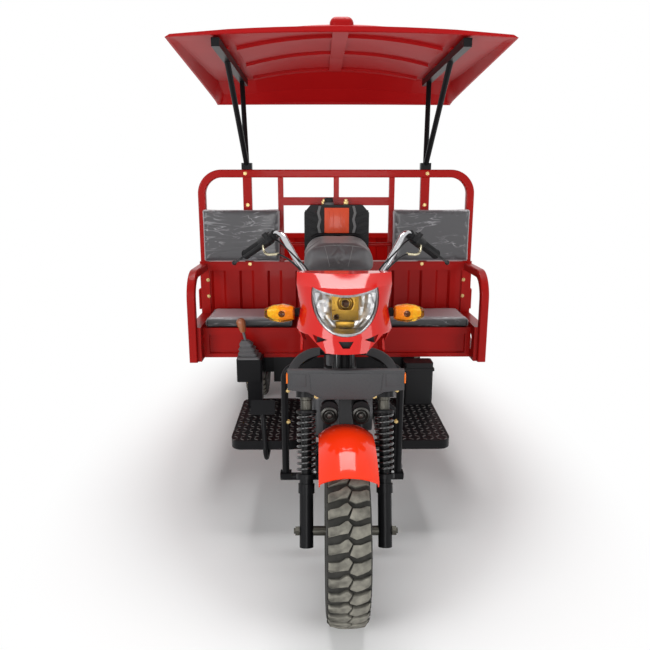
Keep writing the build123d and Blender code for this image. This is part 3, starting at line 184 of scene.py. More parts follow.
def enamel(name, colour, dark, rough, ripple, coat, shine):
    material, shader, link = new_material(name)
    skin = shader["Principled BSDF"]
    skin.inputs["Roughness"].default_value = rough
    skin.inputs["Specular IOR Level"].default_value = shine
    skin.inputs["Coat Weight"].default_value = coat
    skin.inputs["Coat Roughness"].default_value = 0.06
    two_tone(shader, link, piece_noise(shader, link, 3.5, 5.0), dark, colour)
    relief(shader, link, piece_noise(shader, link, 260.0), ripple, 0.0004)
    return material


def dress(material, *names):
    """Give CAD nodes their finish."""
    for name in names:
        for slot in nodes[name].material_slots:
            slot.material = material


red_enamel = enamel("red_enamel", (0.42, 0.008, 0.006), (0.33, 0.005, 0.004), 0.34, 0.10, 0.10, 0.08)
red_guard = enamel("red_guard", (0.90, 0.040, 0.004), (0.80, 0.024, 0.002), 0.24, 0.06, 0.55, 0.05)
black_enamel = enamel("black_enamel", (0.010, 0.010, 0.011), (0.006, 0.006, 0.007), 0.36, 0.14, 0.04, 0.09)
dress(
    red_enamel, "bench_frame", "cargo_floor", "front_wall", "rear_posts", "side_gate_left", "side_gate_right",
    "tailgate", "guard_rail", "fuel_tank",
)
dress(
    black_enamel, "main_frame", "ladder_frame", "leg_guard", "fork_crown", "top_yoke", "canopy_frame",
    "exhaust", "rear_axle", "leaf_springs", "rear_bumper", "seat_pedestal", "grab_rail", "brake_pedal",
    "gear_console", "front_wheel_disc", "rear_wheel_disc_left", "rear_wheel_disc_right", "footboards",
    "horns", "fork_legs",
)
dress(red_guard, "front_mudguard")


# Moulded black plastic and rubber: housings, pads, flaps and boots, with a fine grain and uneven sheen.
# They are bolted or pushed onto the frame.
def shade(colour, share):
    """A colour made darker or paler."""
    return [share * part for part in colour]


def uneven(shader, link, pattern, low, high):
    """Let the roughness of a surface follow a pattern."""
    dull = shader.new("ShaderNodeMapRange")
    dull.inputs["To Min"].default_value = low
    dull.inputs["To Max"].default_value = high
    link.new(pattern, dull.inputs["Value"])
    link.new(dull.outputs["Result"], shader["Principled BSDF"].inputs["Roughness"])


def moulded(name, colour, rough, grain, depth):
    material, shader, link = new_material(name)
    shader["Principled BSDF"].inputs["Specular IOR Level"].default_value = 0.16
    fine = piece_noise(shader, link, grain, 3.0)
    uneven(shader, link, fine, rough - 0.08, rough + 0.12)
    two_tone(shader, link, fine, shade(colour, 0.75), shade(colour, 1.2))
    relief(shader, link, fine, 0.35, depth)
    return material


black_plastic = moulded("black_plastic", (0.014, 0.014, 0.015), 0.45, 420, 0.0006)
plate_grey = moulded("plate_grey", (0.060, 0.060, 0.063), 0.46, 380, 0.0008)
rubber = moulded("rubber", (0.012, 0.012, 0.013), 0.62, 300, 0.0006)
boot_rubber = moulded("boot_rubber", (0.15, 0.15, 0.155), 0.58, 300, 0.0006)
# The splash panel is a black sheet under the bench that works as painted shade: it stands in for the dark
# engine bay behind the fork.
dress(black_plastic, "battery_box", "splash_panel", "hand_controls", "reserve_tank")
dress(plate_grey, "leg_shields")
dress(rubber, "mud_flaps")
dress(boot_rubber, "gear_lever")


# Bright metal: chrome on the handlebar, dark steel on the axle, and cast alloy on the engine, darkened as
# painted shade for the shadow it sits in.
# Plated or cast, with a fine uneven polish.
def bright(name, colour, rough, grain):
    material, shader, link = new_material(name)
    shader["Principled BSDF"].inputs["Metallic"].default_value = 1.0
    streak = piece_noise(shader, link, grain, 4.0)
    uneven(shader, link, streak, rough * 0.6, rough * 1.5)
    two_tone(shader, link, streak, shade(colour, 0.8), colour)
    return material


chrome = bright("chrome", (0.62, 0.62, 0.64), 0.10, 90)
brass = bright("brass", (0.62, 0.45, 0.20), 0.28, 240)
steel_grey = bright("steel_grey", (0.36, 0.36, 0.37), 0.30, 200)
# Engine alloy painted dark grey: painted shade, for the shadow the engine sits in under the machine.
engine_alloy_painted_shade = bright("engine_alloy_painted_shade", (0.13, 0.13, 0.135), 0.52, 180)
axle_steel = bright("axle_steel", (0.075, 0.072, 0.062), 0.42, 220)
dress(chrome, "handlebar")
dress(axle_steel, "front_axle")
dress(engine_alloy_painted_shade, "engine")

# Tyres: ribbed carcass of dusty rubber with two rows of moulded lugs round the tread.
# Each is spun about its axle and stands in for the CAD tyre on its rim.
WHEELS = (
    ("front_tyre", "front_wheel_disc", "front_wheel", 0, 0, 1),
    ("rear_tyre_left", "rear_wheel_disc_left", "rear_wheel_left", 480, 2200, 1),
    ("rear_tyre_right", "rear_wheel_disc_right", "rear_wheel_right", -480, 2200, -1),
)  # tyre, disc, body, across, back from the front axle, and the side of the nuts
TYRE_CROWN = 284.0
SHOULDER = 51.0  # from here out the tread falls away
LUGS = 36
LUG_FOOT = 266.0
LUG_RISE = 10.0
CARCASS_DUST = 0.12
CARCASS = (
    (49.7, 160.0), (49.7, 175.0), (56.0, 178.0), (61.0, 190.0), (65.0, 212.0), (66.0, 222.0), (64.4, 224.0),
    (64.0, 240.0), (65.0, 242.0), (63.0, 254.0), (57.0, 264.0), (40.0, 269.5), (0.0, 272.0),
)  # distance from the middle and radius
RIGHT_LUG = (
    (9.9, 14.2), (31.2, 14.2), (51.0, 21.3), (62.0, 24.0), (62.0, -7.0), (51.0, -9.9), (34.0, -17.0),
    (18.4, -21.3), (0.0, -12.8),
)  # across the tread and along it
LEFT_LUG = (
    (-62.0, 10.0), (-52.5, 12.8), (-28.4, 17.0), (-11.3, 28.4), (-4.3, 29.8), (7.1, 17.0), (-4.3, -4.3),
    (-28.4, -7.9), (-52.5, -14.2), (-62.0, -17.0),
)


def spot(x, y, z):
    """A place in millimetres, with Y from the front axle, in the frame's metres."""
    return Vector((x * 0.001, y * 0.001 + AXLE_Y, z * 0.001))


def make_piece(name, shape, material, body, sharp=40):
    """Turn a finished shape into a piece that rides on a body."""
    bmesh.ops.recalc_face_normals(shape, faces=shape.faces)
    for face in shape.faces:
        face.smooth = True
    mesh = bpy.data.meshes.new(name)
    shape.to_mesh(mesh)
    shape.free()
    mesh.set_sharp_from_angle(angle=radians(sharp))
    mesh.materials.append(material)
    thing = bpy.data.objects.new(name, mesh)
    bpy.context.collection.objects.link(thing)
    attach(thing, body)
    return thing


def spin_outline(shape, outline, steps, closed=False):
    """Spin an outline of places along X and radii about the X axis."""
    points = [shape.verts.new((x, 0, radius)) for x, radius in outline]
    edges = [shape.edges.new(pair) for pair in zip(points, points[1:])]
    if closed:
        edges.append(shape.edges.new((points[-1], points[0])))
    bmesh.ops.spin(
        shape, geom=points + edges, cent=(0, 0, 0), axis=(1, 0, 0), angle=2 * pi, steps=steps, use_merge=True,
    )
    bmesh.ops.remove_doubles(shape, verts=shape.verts, dist=0.0005)


def tread_radius(x):
    """Radius of the lug tops, rounding off at the shoulders."""
    reach = abs(x)
    if reach <= SHOULDER:
        return TYRE_CROWN - 5 * (reach / SHOULDER) ** 2
    return TYRE_CROWN - 5 - (reach - SHOULDER) * 1.5


def add_lugs(shape, outline, wear):
    """One row of lugs: an outline raised off the carcass, bevelled, bent round the tread and repeated."""
    start = set(shape.verts)
    face = shape.faces.new([shape.verts.new((x, along, 0)) for x, along in outline])
    raised = bmesh.ops.extrude_face_region(shape, geom=[face])["geom"]
    top = [item for item in raised if isinstance(item, bmesh.types.BMVert)]
    bmesh.ops.translate(shape, verts=top, vec=(0, 0, LUG_RISE))
    rim = [edge for edge in shape.edges if all(point in top for point in edge.verts)]
    bmesh.ops.bevel(shape, geom=rim, offset=1.6, affect="EDGES", segments=2, profile=0.5, material=-1)
    lug = [point for point in shape.verts if point not in start]
    for point in lug:
        x, along, rise = point.co
        share = rise / LUG_RISE
        point[wear] = share
        radius = LUG_FOOT + share * (tread_radius(x) - LUG_FOOT)
        turn = along / TYRE_CROWN
        point.co = (x, radius * sin(turn), radius * cos(turn))
    faces = {face for point in lug for face in point.link_faces}
    edges = {edge for point in lug for edge in point.link_edges}
    bmesh.ops.spin(
        shape, geom=lug + list(edges) + list(faces), cent=(0, 0, 0), axis=(1, 0, 0),
        angle=2 * pi * (LUGS - 1) / LUGS, steps=LUGS - 1, use_duplicate=True,
    )


def tyre_skin():
    material, shader, link = new_material("tyre_rubber")
    skin = shader["Principled BSDF"]
    skin.inputs["Specular IOR Level"].default_value = 0.25
    skin.inputs["Roughness"].default_value = 0.78
    worn = shader.new("ShaderNodeAttribute")
    worn.attribute_name = "wear"
    cover = shader.new("ShaderNodeMath")
    cover.operation = "MULTIPLY"
    link.new(worn.outputs["Fac"], cover.inputs[0])
    link.new(piece_noise(shader, link, 42.0, 6.0), cover.inputs[1])
    two_tone(shader, link, cover.outputs[0], (0.010, 0.010, 0.010), (0.360, 0.345, 0.290))
    relief(shader, link, piece_noise(shader, link, 520.0), 0.5, 0.0006)
    return material


tyre_rubber = tyre_skin()
for node, _, body, x, y, _ in WHEELS:
    shape = bmesh.new()
    wear = shape.verts.layers.float.new("wear")
    right_half = [(-x_out, radius) for x_out, radius in CARCASS]
    spin_outline(shape, right_half + list(reversed(CARCASS[:-1])), 96, closed=True)
    for point in shape.verts:
        point[wear] = CARCASS_DUST
    add_lugs(shape, RIGHT_LUG, wear)
    add_lugs(shape, LEFT_LUG, wear)
    bmesh.ops.scale(shape, vec=(0.001, 0.001, 0.001), verts=shape.verts)
    bmesh.ops.translate(shape, vec=spot(x, y, TYRE_CROWN), verts=shape.verts)
    tyre = make_piece(node + "_tread", shape, tyre_rubber, body, sharp=50)
    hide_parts(node)


# Wheel nuts: plated nuts in a ring round each hub, screwed down on the outer face of the disc.
# They are turned from hexagon bar with a chamfered end.
def join_into(shape, part):
    """Add a finished part to a shape."""
    held = bpy.data.meshes.new("part")
    part.to_mesh(held)
    part.free()
    shape.from_mesh(held)
    bpy.data.meshes.remove(held)


def spun_part(shape, outline, steps, matrix, closed=False, filled=True):
    """Add an outline spun about its X axis, placed by a matrix in the frame's metres."""
    turned = bmesh.new()
    spin_outline(turned, outline, steps, closed)
    if filled:
        bmesh.ops.holes_fill(turned, edges=[line for line in turned.edges if line.is_boundary], sides=0)
    bmesh.ops.transform(turned, matrix=matrix @ Matrix.Scale(0.001, 4), verts=turned.verts)
    join_into(shape, turned)


def facing(place, along):
    """A matrix at a place whose X axis points along a direction."""
    return Matrix.Translation(place) @ Vector(along).to_track_quat("X", "Z").to_matrix().to_4x4()


def first_face(node, start, along):
    """The first place on a CAD node that is met from a starting place in one direction."""
    view = bpy.context.evaluated_depsgraph_get()
    met, place, _, _ = nodes[node].ray_cast(start, along, depsgraph=view)
    return place if met else None


NUT = (
    (0.0, 10.0), (9.0, 10.0), (11.0, 8.6), (11.0, 5.0), (15.0, 5.0), (15.6, 0.5),
)  # out from the disc, and radius
NUTS = 5
NUT_CIRCLE = 68.0
BESIDE = 300.0  # a place well outside the wheel
for _, node, body, x, y, side in WHEELS:
    shape = bmesh.new()
    for index in range(NUTS):
        turn = 2 * pi * index / NUTS
        start = spot(x + side * BESIDE, y + NUT_CIRCLE * sin(turn), TYRE_CROWN + NUT_CIRCLE * cos(turn))
        spun_part(shape, NUT, 6, facing(first_face(node, start, (-side, 0, 0)), (side, 0, 0)))
    make_piece(node + "_nuts", shape, steel_grey, body, sharp=20)

# Fork springs: round spring steel wire in gloss black, ten open coils on each leg.
# They stand along the raked steering axis between the leg's seat and a collar under the crown.
STEERING = Matrix.Translation(spot(0, 45, 284)) @ Matrix.Rotation(radians(-18), 4, "X")
LEG_HALF = 125.0
LEG_Y = -42.8
SPRING_SEAT = 165.3
SPRING_END = 357.0
COIL_RADIUS = 27.0
WIRE = 4.6
COILS = 10
COIL_STEPS = 26
spring_black = enamel("spring_black", (0.008, 0.008, 0.009), (0.005, 0.005, 0.006), 0.16, 0.03, 0.5, 0.5)
shape = bmesh.new()
for side in (-1, 1):
    rise = SPRING_END - SPRING_SEAT - 2 * WIRE
    stand = Matrix.Translation((side * LEG_HALF, LEG_Y, SPRING_SEAT + WIRE))
    wire = bmesh.ops.create_circle(
        shape, segments=10, radius=WIRE,
        matrix=stand @ Matrix.Translation((COIL_RADIUS, 0, 0)) @ Matrix.Rotation(radians(90), 4, "X"),
    )["verts"]
    loop = {edge for point in wire for edge in point.link_edges}
    bmesh.ops.spin(
        shape, geom=wire + list(loop), cent=stand.translation, axis=(0, 0, 1),
        dvec=(0, 0, rise / (COILS * COIL_STEPS)), angle=2 * pi * COILS, steps=COILS * COIL_STEPS,
    )
bmesh.ops.holes_fill(shape, edges=[edge for edge in shape.edges if edge.is_boundary], sides=0)
bmesh.ops.transform(shape, matrix=STEERING @ Matrix.Scale(0.001, 4), verts=shape.verts)
springs = make_piece("fork_spring_coils", shape, spring_black, "steering")
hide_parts("fork_springs")


# Fork collars and sleeves: a black clamp above each spring, and a dark steel sleeve up to the crown.
# Both are turned rings pushed over the leg's tube.
def upright(side):
    """A matrix on a fork leg's line, whose X axis runs up the leg."""
    foot = Matrix.Translation(Vector((side * LEG_HALF, LEG_Y, 0)) * 0.001)
    return STEERING @ foot @ Matrix.Rotation(radians(-90), 4, "Y")


COLLAR = ((357.0, 16.8), (357.0, 31.0), (359.0, 33.0), (366.0, 33.0), (368.0, 30.0), (368.0, 16.8))
SLEEVE = (
    (368.0, 16.8), (368.0, 18.0), (370.0, 18.6), (398.0, 18.6), (400.0, 21.0), (408.6, 21.0), (408.6, 16.8),
)  # up the leg, and radius
collars = bmesh.new()
sleeves = bmesh.new()
for side in (-1, 1):
    spun_part(collars, COLLAR, 32, upright(side), closed=True)
    spun_part(sleeves, SLEEVE, 32, upright(side), closed=True)
make_piece("fork_spring_collars", collars, black_enamel, "steering")
make_piece("fork_sleeves", sleeves, axle_steel, "steering")

# Front bumper plate: grey grained plastic with rolled edges and a raised middle panel.
# It bolts to tongues on the fork crown and carries an orange reflector at each end.
PLATE_FRONT = 60.0
PLATE_OUTLINE = (
    (-182, 796), (182, 796), (182, 731), (118, 724), (75, 700), (-75, 700), (-118, 724), (-182, 731),
)  # across and height
PLATE_PANEL = ((-114, 788), (114, 788), (108, 731), (70, 708), (-70, 708), (-108, 731))
amber = moulded("amber", (0.80, 0.16, 0.010), 0.20, 60, 0.0004)


def slab(shape, outline, front, back, edge, rounds=2):
    """An upright slab from an outline of X and Z, with its front edges rounded over."""
    face = shape.faces.new([shape.verts.new(spot(x, back, z)) for x, z in outline])
    raised = bmesh.ops.extrude_face_region(shape, geom=[face])["geom"]
    near = {item for item in raised if isinstance(item, bmesh.types.BMVert)}
    bmesh.ops.translate(shape, verts=list(near), vec=(0, (front - back) * 0.001, 0))
    rim = [line for line in shape.edges if line.verts[0] in near and line.verts[1] in near]
    bmesh.ops.bevel(
        shape, geom=rim, offset=edge * 0.001, affect="EDGES", segments=rounds, profile=0.5, material=-1,
        clamp_overlap=True,
    )


def rectangle(low_x, high_x, low_z, high_z):
    return ((low_x, low_z), (high_x, low_z), (high_x, high_z), (low_x, high_z))


shape = bmesh.new()
slab(shape, PLATE_OUTLINE, PLATE_FRONT, PLATE_FRONT + 26, 8, 4)
slab(shape, PLATE_PANEL, PLATE_FRONT - 4, PLATE_FRONT + 2, 3)
for side in (-1, 1):
    corner_pad = rectangle(*sorted((side * 124, side * 170)), 744, 786)
    slab(shape, corner_pad, PLATE_FRONT - 2, PLATE_FRONT + 2, 2)
plate = make_piece("bumper_face", shape, plate_grey, "steering", sharp=50)
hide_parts("bumper_plate")
shape = bmesh.new()
for side in (-1, 1):
    end_strip = rectangle(*sorted((side * 181, side * 186)), 754, 784)
    slab(shape, end_strip, PLATE_FRONT + 2, PLATE_FRONT + 22, 1.5)
make_piece("bumper_reflectors", shape, amber, "steering")

# Horns: pressed cups with ribbed steel rings, hung under the fork crown.
# The rings are spun and pressed into the cups' mouths.
HORN_X = 51.0
HORN_Z = 631.0
HORN_RINGS = (
    (0.0, 27.6), (2.0, 29.0), (5.0, 29.0), (7.0, 26.0), (8.0, 23.0), (5.0, 21.0), (8.0, 19.0), (5.0, 17.0),
    (7.0, 14.0), (4.0, 11.0), (9.0, 7.0), (10.0, 0.5),
)  # forward of the cup, and radius
horn_steel = bright("horn_steel", (0.07, 0.068, 0.064), 0.40, 200)
horn_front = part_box("horns")[0][1]
shape = bmesh.new()
for side in (-1, 1):
    centre = Vector((side * HORN_X * 0.001, horn_front + 0.001, HORN_Z * 0.001))
    spun_part(shape, HORN_RINGS, 32, facing(centre, (0, -1, 0)))
make_piece("horn_rings", shape, horn_steel, "steering", sharp=30)

# Stay rods: two chromed rods side by side, screwed into the fork crown and run up to the top yoke.
# They stand behind the nose and show between it and the bumper plate.
ROD = (
    (0.0, 0.5), (0.0, 8.0), (7.0, 8.0), (9.0, 5.5), (216.0, 5.5), (217.5, 0.5),
)  # up the rod, and radius
ROD_FOOT = (20.0, -44.0, 449.0)
ROD_HEAD = (24.0, -32.0, 666.0)
shape = bmesh.new()
for side in (-1, 1):
    foot, head = (
        STEERING @ (Vector((side * x, y, z)) * 0.001)
        for x, y, z in (ROD_FOOT, ROD_HEAD)
    )
    spun_part(shape, ROD, 16, facing(foot, head - foot))
make_piece("stay_rods", shape, chrome, "steering")

# Nose fairing: glossy red plastic shell round the headlamp, on a bracket from the top yoke.
# The side covers of the fuel tank are moulded in the same plastic.
# Black liners close the vents in its chin from behind.
red_shell = enamel("red_shell", (0.66, 0.011, 0.007), (0.58, 0.008, 0.005), 0.20, 0.02, 0.65, 0.05)
dress(red_shell, "nose_fairing", "tank_shrouds")
VENTS = (
    (-68, 22, 868, 900), (0, 24, 858, 884), (68, 22, 868, 900),
)  # middle across, half width, foot and top
SHELL_SPREAD = 60.0  # a hit further back than this has missed the shell's front
LINER_GAP = 8.0
LINER_DEPTH = 4.0
AHEAD = -1500.0  # a place well in front of the machine
shape = bmesh.new()
for across, half, low, high in VENTS:
    hits = []
    for x in (across - half, across + half):
        for z in (low, high):
            hit = first_face("nose_fairing", spot(x, AHEAD, z), (0, 1, 0))
            if hit:
                hits.append((hit.y - AXLE_Y) * 1000)
    front = max(hit for hit in hits if hit < min(hits) + SHELL_SPREAD) + LINER_GAP
    slab(shape, rectangle(across - half, across + half, low, high), front, front + LINER_DEPTH, 1)
make_piece("vent_liners", shape, black_plastic, "steering")

# Turn signals: clear amber shells over a yellow reflector and a dark bulb.
# Each is pushed onto a ribbed rubber stalk that stands out from the nose.
SIGNAL_Y = 236.0
SIGNAL_Z = 943.0
SIGNAL_SHELL = (
    (164.0, 12.0), (165.0, 20.0), (176.0, 25.0), (206.0, 29.5), (232.0, 26.5), (254.0, 18.0), (263.0, 13.0),
    (264.0, 0.5),
)  # out from the middle, and half height
SIGNAL_CORE = ((170.0, 0.5), (170.0, 17.0), (206.0, 22.0), (236.0, 17.0), (252.0, 9.0), (253.0, 0.5))
SIGNAL_BULB = ((0.0, 11.0), (2.0, 11.0), (3.0, 7.0), (7.0, 6.0), (9.0, 3.0), (9.4, 0.5))
SIGNAL_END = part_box("turn_signals")[1][0]  # outer end of the left one, in metres
STALK = [(138.0, 5.0)]
STALK_RIBS = 5
STALK_PITCH = 5.2
for index in range(STALK_RIBS):
    start = index * STALK_PITCH
    STALK += [(start + 138.6, 15.0), (start + 141.6, 15.0), (start + 142.6, 12.0)]
STALK.append((165.0, 5.0))


def squared(shape, matrix):
    """Turn the round sections of a spun shape into rounded squares about its X axis."""
    back = matrix.inverted()
    for point in shape.verts:
        place = back @ point.co
        reach = max((place.y ** 2 + place.z ** 2) ** 0.5, 1e-9)
        fourth = (abs(place.y / reach) ** 4 + abs(place.z / reach) ** 4) ** 0.25
        point.co = matrix @ Vector((place.x, 0.88 * place.y / fourth, place.z / fourth))


def signal_skin():
    material, shader, link = new_material("signal_amber")
    skin = shader["Principled BSDF"]
    skin.inputs["Transmission Weight"].default_value = 0.95
    skin.inputs["Roughness"].default_value = 0.10
    skin.inputs["IOR"].default_value = 1.25
    place = shader.new("ShaderNodeTexCoord")
    prism = shader.new("ShaderNodeTexVoronoi")
    prism.inputs["Scale"].default_value = 110.0
    axes = shader.new("ShaderNodeSeparateXYZ")
    outward = shader.new("ShaderNodeMath")
    outward.operation = "ABSOLUTE"
    inner_end = shader.new("ShaderNodeMapRange")
    inner_end.inputs["From Min"].default_value = SIGNAL_END - 0.070
    inner_end.inputs["From Max"].default_value = SIGNAL_END - 0.035
    inner_end.inputs["To Min"].default_value = 0.65
    inner_end.inputs["To Max"].default_value = 0.0
    deeper = shader.new("ShaderNodeMath")
    deeper.operation = "ADD"
    deeper.use_clamp = True
    link.new(place.outputs["Object"], prism.inputs["Vector"])
    link.new(place.outputs["Object"], axes.inputs[0])
    link.new(axes.outputs["X"], outward.inputs[0])
    link.new(outward.outputs[0], inner_end.inputs["Value"])
    link.new(inner_end.outputs["Result"], deeper.inputs[0])
    link.new(prism.outputs["Distance"], deeper.inputs[1])
    two_tone(shader, link, deeper.outputs[0], (1.0, 0.86, 0.10), (0.95, 0.30, 0.010))
    relief(shader, link, prism.outputs["Distance"], 0.4, 0.0015)
    return material


signal_amber = signal_skin()
signal_yellow = moulded("signal_yellow", (0.80, 0.62, 0.12), 0.30, 160, 0.0010)
bulb_dark = moulded("bulb_dark", (0.06, 0.020, 0.006), 0.30, 300, 0.0004)
shells = bmesh.new()
cores = bmesh.new()
bulbs = bmesh.new()
stalks = bmesh.new()
for side in (-1, 1):
    root = facing(spot(0, SIGNAL_Y, SIGNAL_Z), (side, 0, 0))
    for whole, outline in ((shells, SIGNAL_SHELL), (cores, SIGNAL_CORE)):
        one = bmesh.new()
        spun_part(one, outline, 32, root)
        squared(one, root)
        join_into(whole, one)
    spun_part(bulbs, SIGNAL_BULB, 20, facing(spot(side * 206, SIGNAL_Y - 17, SIGNAL_Z), (0, -1, 0)))
    spun_part(stalks, STALK, 24, facing(spot(0, SIGNAL_Y + 14, SIGNAL_Z), (side, 0, 0)))
shells = make_piece("signal_shells", shells, signal_amber, "steering")
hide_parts("turn_signals")
make_piece("signal_reflectors", cores, signal_yellow, "steering")
make_piece("signal_bulbs", bulbs, bulb_dark, "steering")
stalks = make_piece("signal_stalk_boots", stalks, rubber, "steering")
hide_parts("signal_stalks")

# Headlamp: clear lens with faint flutes over a faceted bright reflector.
# An amber chamber with a ringed bulb stands in the middle, and the reflector sits in the bowl.
LAMP_ROWS = (
    (898.0, 26.0), (915.0, 52.0), (938.0, 74.0), (960.0, 86.0), (990.0, 92.0), (1010.0, 94.0), (1024.0, 96.0),
)  # height and half width
LAMP_DEPTH = 178.0
FACETS = 18
FACET_SCATTER = 7.0
REFLECTOR_BOW = 34.0
BULB_Z = 989.0
lens_glass, glass_nodes, glass_link = new_material("lens_glass")
glass = glass_nodes["Principled BSDF"]
glass.inputs["Transmission Weight"].default_value = 1.0
glass.inputs["Roughness"].default_value = 0.02
glass.inputs["IOR"].default_value = 1.16
glass_place = glass_nodes.new("ShaderNodeTexCoord")
flute = glass_nodes.new("ShaderNodeTexWave")
flute.bands_direction = "X"
flute.inputs["Scale"].default_value = 38.0
flute.inputs["Distortion"].default_value = 1.5
glass_link.new(glass_place.outputs["Object"], flute.inputs["Vector"])
relief(glass_nodes, glass_link, flute.outputs["Fac"], 0.07, 0.002)
dress(lens_glass, "headlamp_lens")
lamp_silver = bright("lamp_silver", (0.74, 0.74, 0.75), 0.34, 120)
bowl_grey = bright("bowl_grey", (0.46, 0.46, 0.47), 0.34, 160)
dress(bowl_grey, "headlamp_bowl")

shape = bmesh.new()
bmesh.ops.create_grid(shape, x_segments=FACETS, y_segments=len(LAMP_ROWS) * 2 - 2, size=1.0)
for point in shape.verts:
    across = point.co.x
    row = (point.co.y + 1) / 2 * (len(LAMP_ROWS) - 1)
    low = min(int(row), len(LAMP_ROWS) - 2)
    share = row - low
    height = LAMP_ROWS[low][0] * (1 - share) + LAMP_ROWS[low + 1][0] * share
    half = LAMP_ROWS[low][1] * (1 - share) + LAMP_ROWS[low + 1][1] * share
    scatter = noise.noise((across * 9, height * 0.05, 1.7)) * FACET_SCATTER
    point.co = spot(across * half, LAMP_DEPTH + 8 - REFLECTOR_BOW * across ** 2 + scatter, height)
bmesh.ops.solidify(shape, geom=shape.faces, thickness=0.001)
make_piece("lamp_reflector", shape, lamp_silver, "steering", sharp=1)

lamp_gold = bright("lamp_gold", (0.46, 0.26, 0.040), 0.30, 120)
shape = bmesh.new()
slab(shape, rectangle(-43, 43, 932, 1014), LAMP_DEPTH - 18, LAMP_DEPTH + 6, 4)
slab(shape, rectangle(-30, 30, 906, 928), LAMP_DEPTH - 8, LAMP_DEPTH + 6, 4)
slab(shape, rectangle(-42, 42, 963, 967), LAMP_DEPTH - 24, LAMP_DEPTH - 17, 1)
RING = ((0.0, 30.0), (5.0, 30.0), (5.0, 26.0), (1.5, 22.0), (4.0, 18.0), (1.0, 15.0), (1.0, 1.0))
spun_part(shape, RING, 28, facing(spot(0, LAMP_DEPTH - 18, BULB_Z), (0, -1, 0)))
make_piece("lamp_chamber", shape, lamp_gold, "steering")
MAIN_BULB = ((0.0, 12.0), (3.0, 13.0), (12.0, 12.0), (17.0, 8.0), (18.0, 0.5))
SIDE_BULB = ((0.0, 9.0), (4.0, 9.0), (4.0, 6.0), (1.0, 5.0), (1.0, 0.5))
shape = bmesh.new()
spun_part(shape, MAIN_BULB, 24, facing(spot(0, LAMP_DEPTH - 20, BULB_Z), (0, -1, 0)))
spun_part(shape, SIDE_BULB, 20, facing(spot(-28, LAMP_DEPTH - 17, 945), (0, -1, 0)))
make_piece("lamp_bulbs", shape, bulb_dark, "steering")

# Grips: black rubber sleeves with ring ribs, pushed onto the bar's ends.
# Each is spun about the bar's outer run.
BAR_END = Vector((357.0, 580.0, 1100.0))
BAR_RISE = Vector((218.0, 415.0, 1198.0))
GRIP_RIBS = 17
GRIP_PITCH = 6.4
GRIP = [(-118.0, 11.3), (-118.0, 19.5), (-114.0, 19.5), (-113.0, 16.4)]
for index in range(GRIP_RIBS):
    start = -110.0 + index * GRIP_PITCH
    GRIP += [(start, 15.6), (start + 1.2, 17.4), (start + 4.2, 17.4), (start + 5.4, 15.6)]
GRIP += [(0.0, 16.5), (1.0, 19.0), (4.0, 19.0), (6.0, 16.0), (6.3, 0.5)]
shape = bmesh.new()
for side in (-1, 1):
    end = Vector((side * BAR_END.x, BAR_END.y, BAR_END.z))
    rise = Vector((side * BAR_RISE.x, BAR_RISE.y, BAR_RISE.z))
    spun_part(shape, GRIP, 24, facing(spot(*end), end - rise), filled=False)
grips = make_piece("ribbed_grips", shape, rubber, "steering")
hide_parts("grips")


# Cable elbows: bent plated pipes under the switch pods that turn the brake cables inwards.
# Each is a drawn tube screwed into its pod.
def smooth_line(name, route, radius):
    """A round line on a smooth curve that is led by a few places."""
    line = bpy.data.curves.new(name, "CURVE")
    line.dimensions = "3D"
    line.bevel_depth = radius
    line.bevel_resolution = 3
    line.resolution_u = 8
    run = line.splines.new("NURBS")
    run.points.add(len(route) - 1)
    for knot, place in zip(run.points, route):
        knot.co = (*place, 1)
    run.order_u = 3
    run.use_endpoint_u = True
    thing = bpy.data.objects.new(name, line)
    bpy.context.collection.objects.link(thing)
    return thing


def add_tube(shape, route, radius):
    """Add a round tube with closed ends to a shape."""
    holder = smooth_line("tube", route, radius)
    holder.data.use_fill_caps = True
    view = bpy.context.evaluated_depsgraph_get()
    held = bpy.data.meshes.new_from_object(holder.evaluated_get(view))
    shape.from_mesh(held)
    bpy.data.objects.remove(holder)
    bpy.data.meshes.remove(held)


elbow_metal = bright("elbow_metal", (0.66, 0.60, 0.42), 0.24, 200)
ELBOW = ((282, 476, 1150), (283, 456, 1126), (266, 430, 1114), (246, 420, 1116), (226, 408, 1119))
shape = bmesh.new()
for side in (-1, 1):
    add_tube(shape, [spot(side * x, y, z) for x, y, z in ELBOW], 0.0050)
make_piece("cable_elbows", shape, elbow_metal, "steering")

# Control cables: black sheathed wires from the elbows and switch pods, down behind the nose.
# Each is one smooth run along the bar that goes back into the machine under the fairing's top.
cable_black = moulded("cable_black", (0.012, 0.012, 0.013), 0.40, 500, 0.0003)
BRAKE_RUN = (*ELBOW, (200, 372, 1112), (170, 336, 1096), (146, 312, 1076), (128, 300, 1050))
SWITCH_RUN = (
    (250, 470, 1166), (228, 424, 1166), (196, 376, 1144), (160, 340, 1112), (126, 318, 1086),
    (108, 308, 1052),
)
for name, thick, side, places, length in (
    ("left_brake_cable", 0.0070, 1, BRAKE_RUN, 0.274),
    ("left_switch_cable", 0.0060, 1, SWITCH_RUN, 0.258),
    ("right_brake_cable", 0.0070, -1, BRAKE_RUN, 0.274),
    ("right_throttle_cable", 0.0060, -1, SWITCH_RUN, 0.258),
):
    route = [spot(side * x, y, z) for x, y, z in places]
    cable = smooth_line(name, route, thick / 2)
    cable.data.materials.append(cable_black)
    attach(cable, "steering")

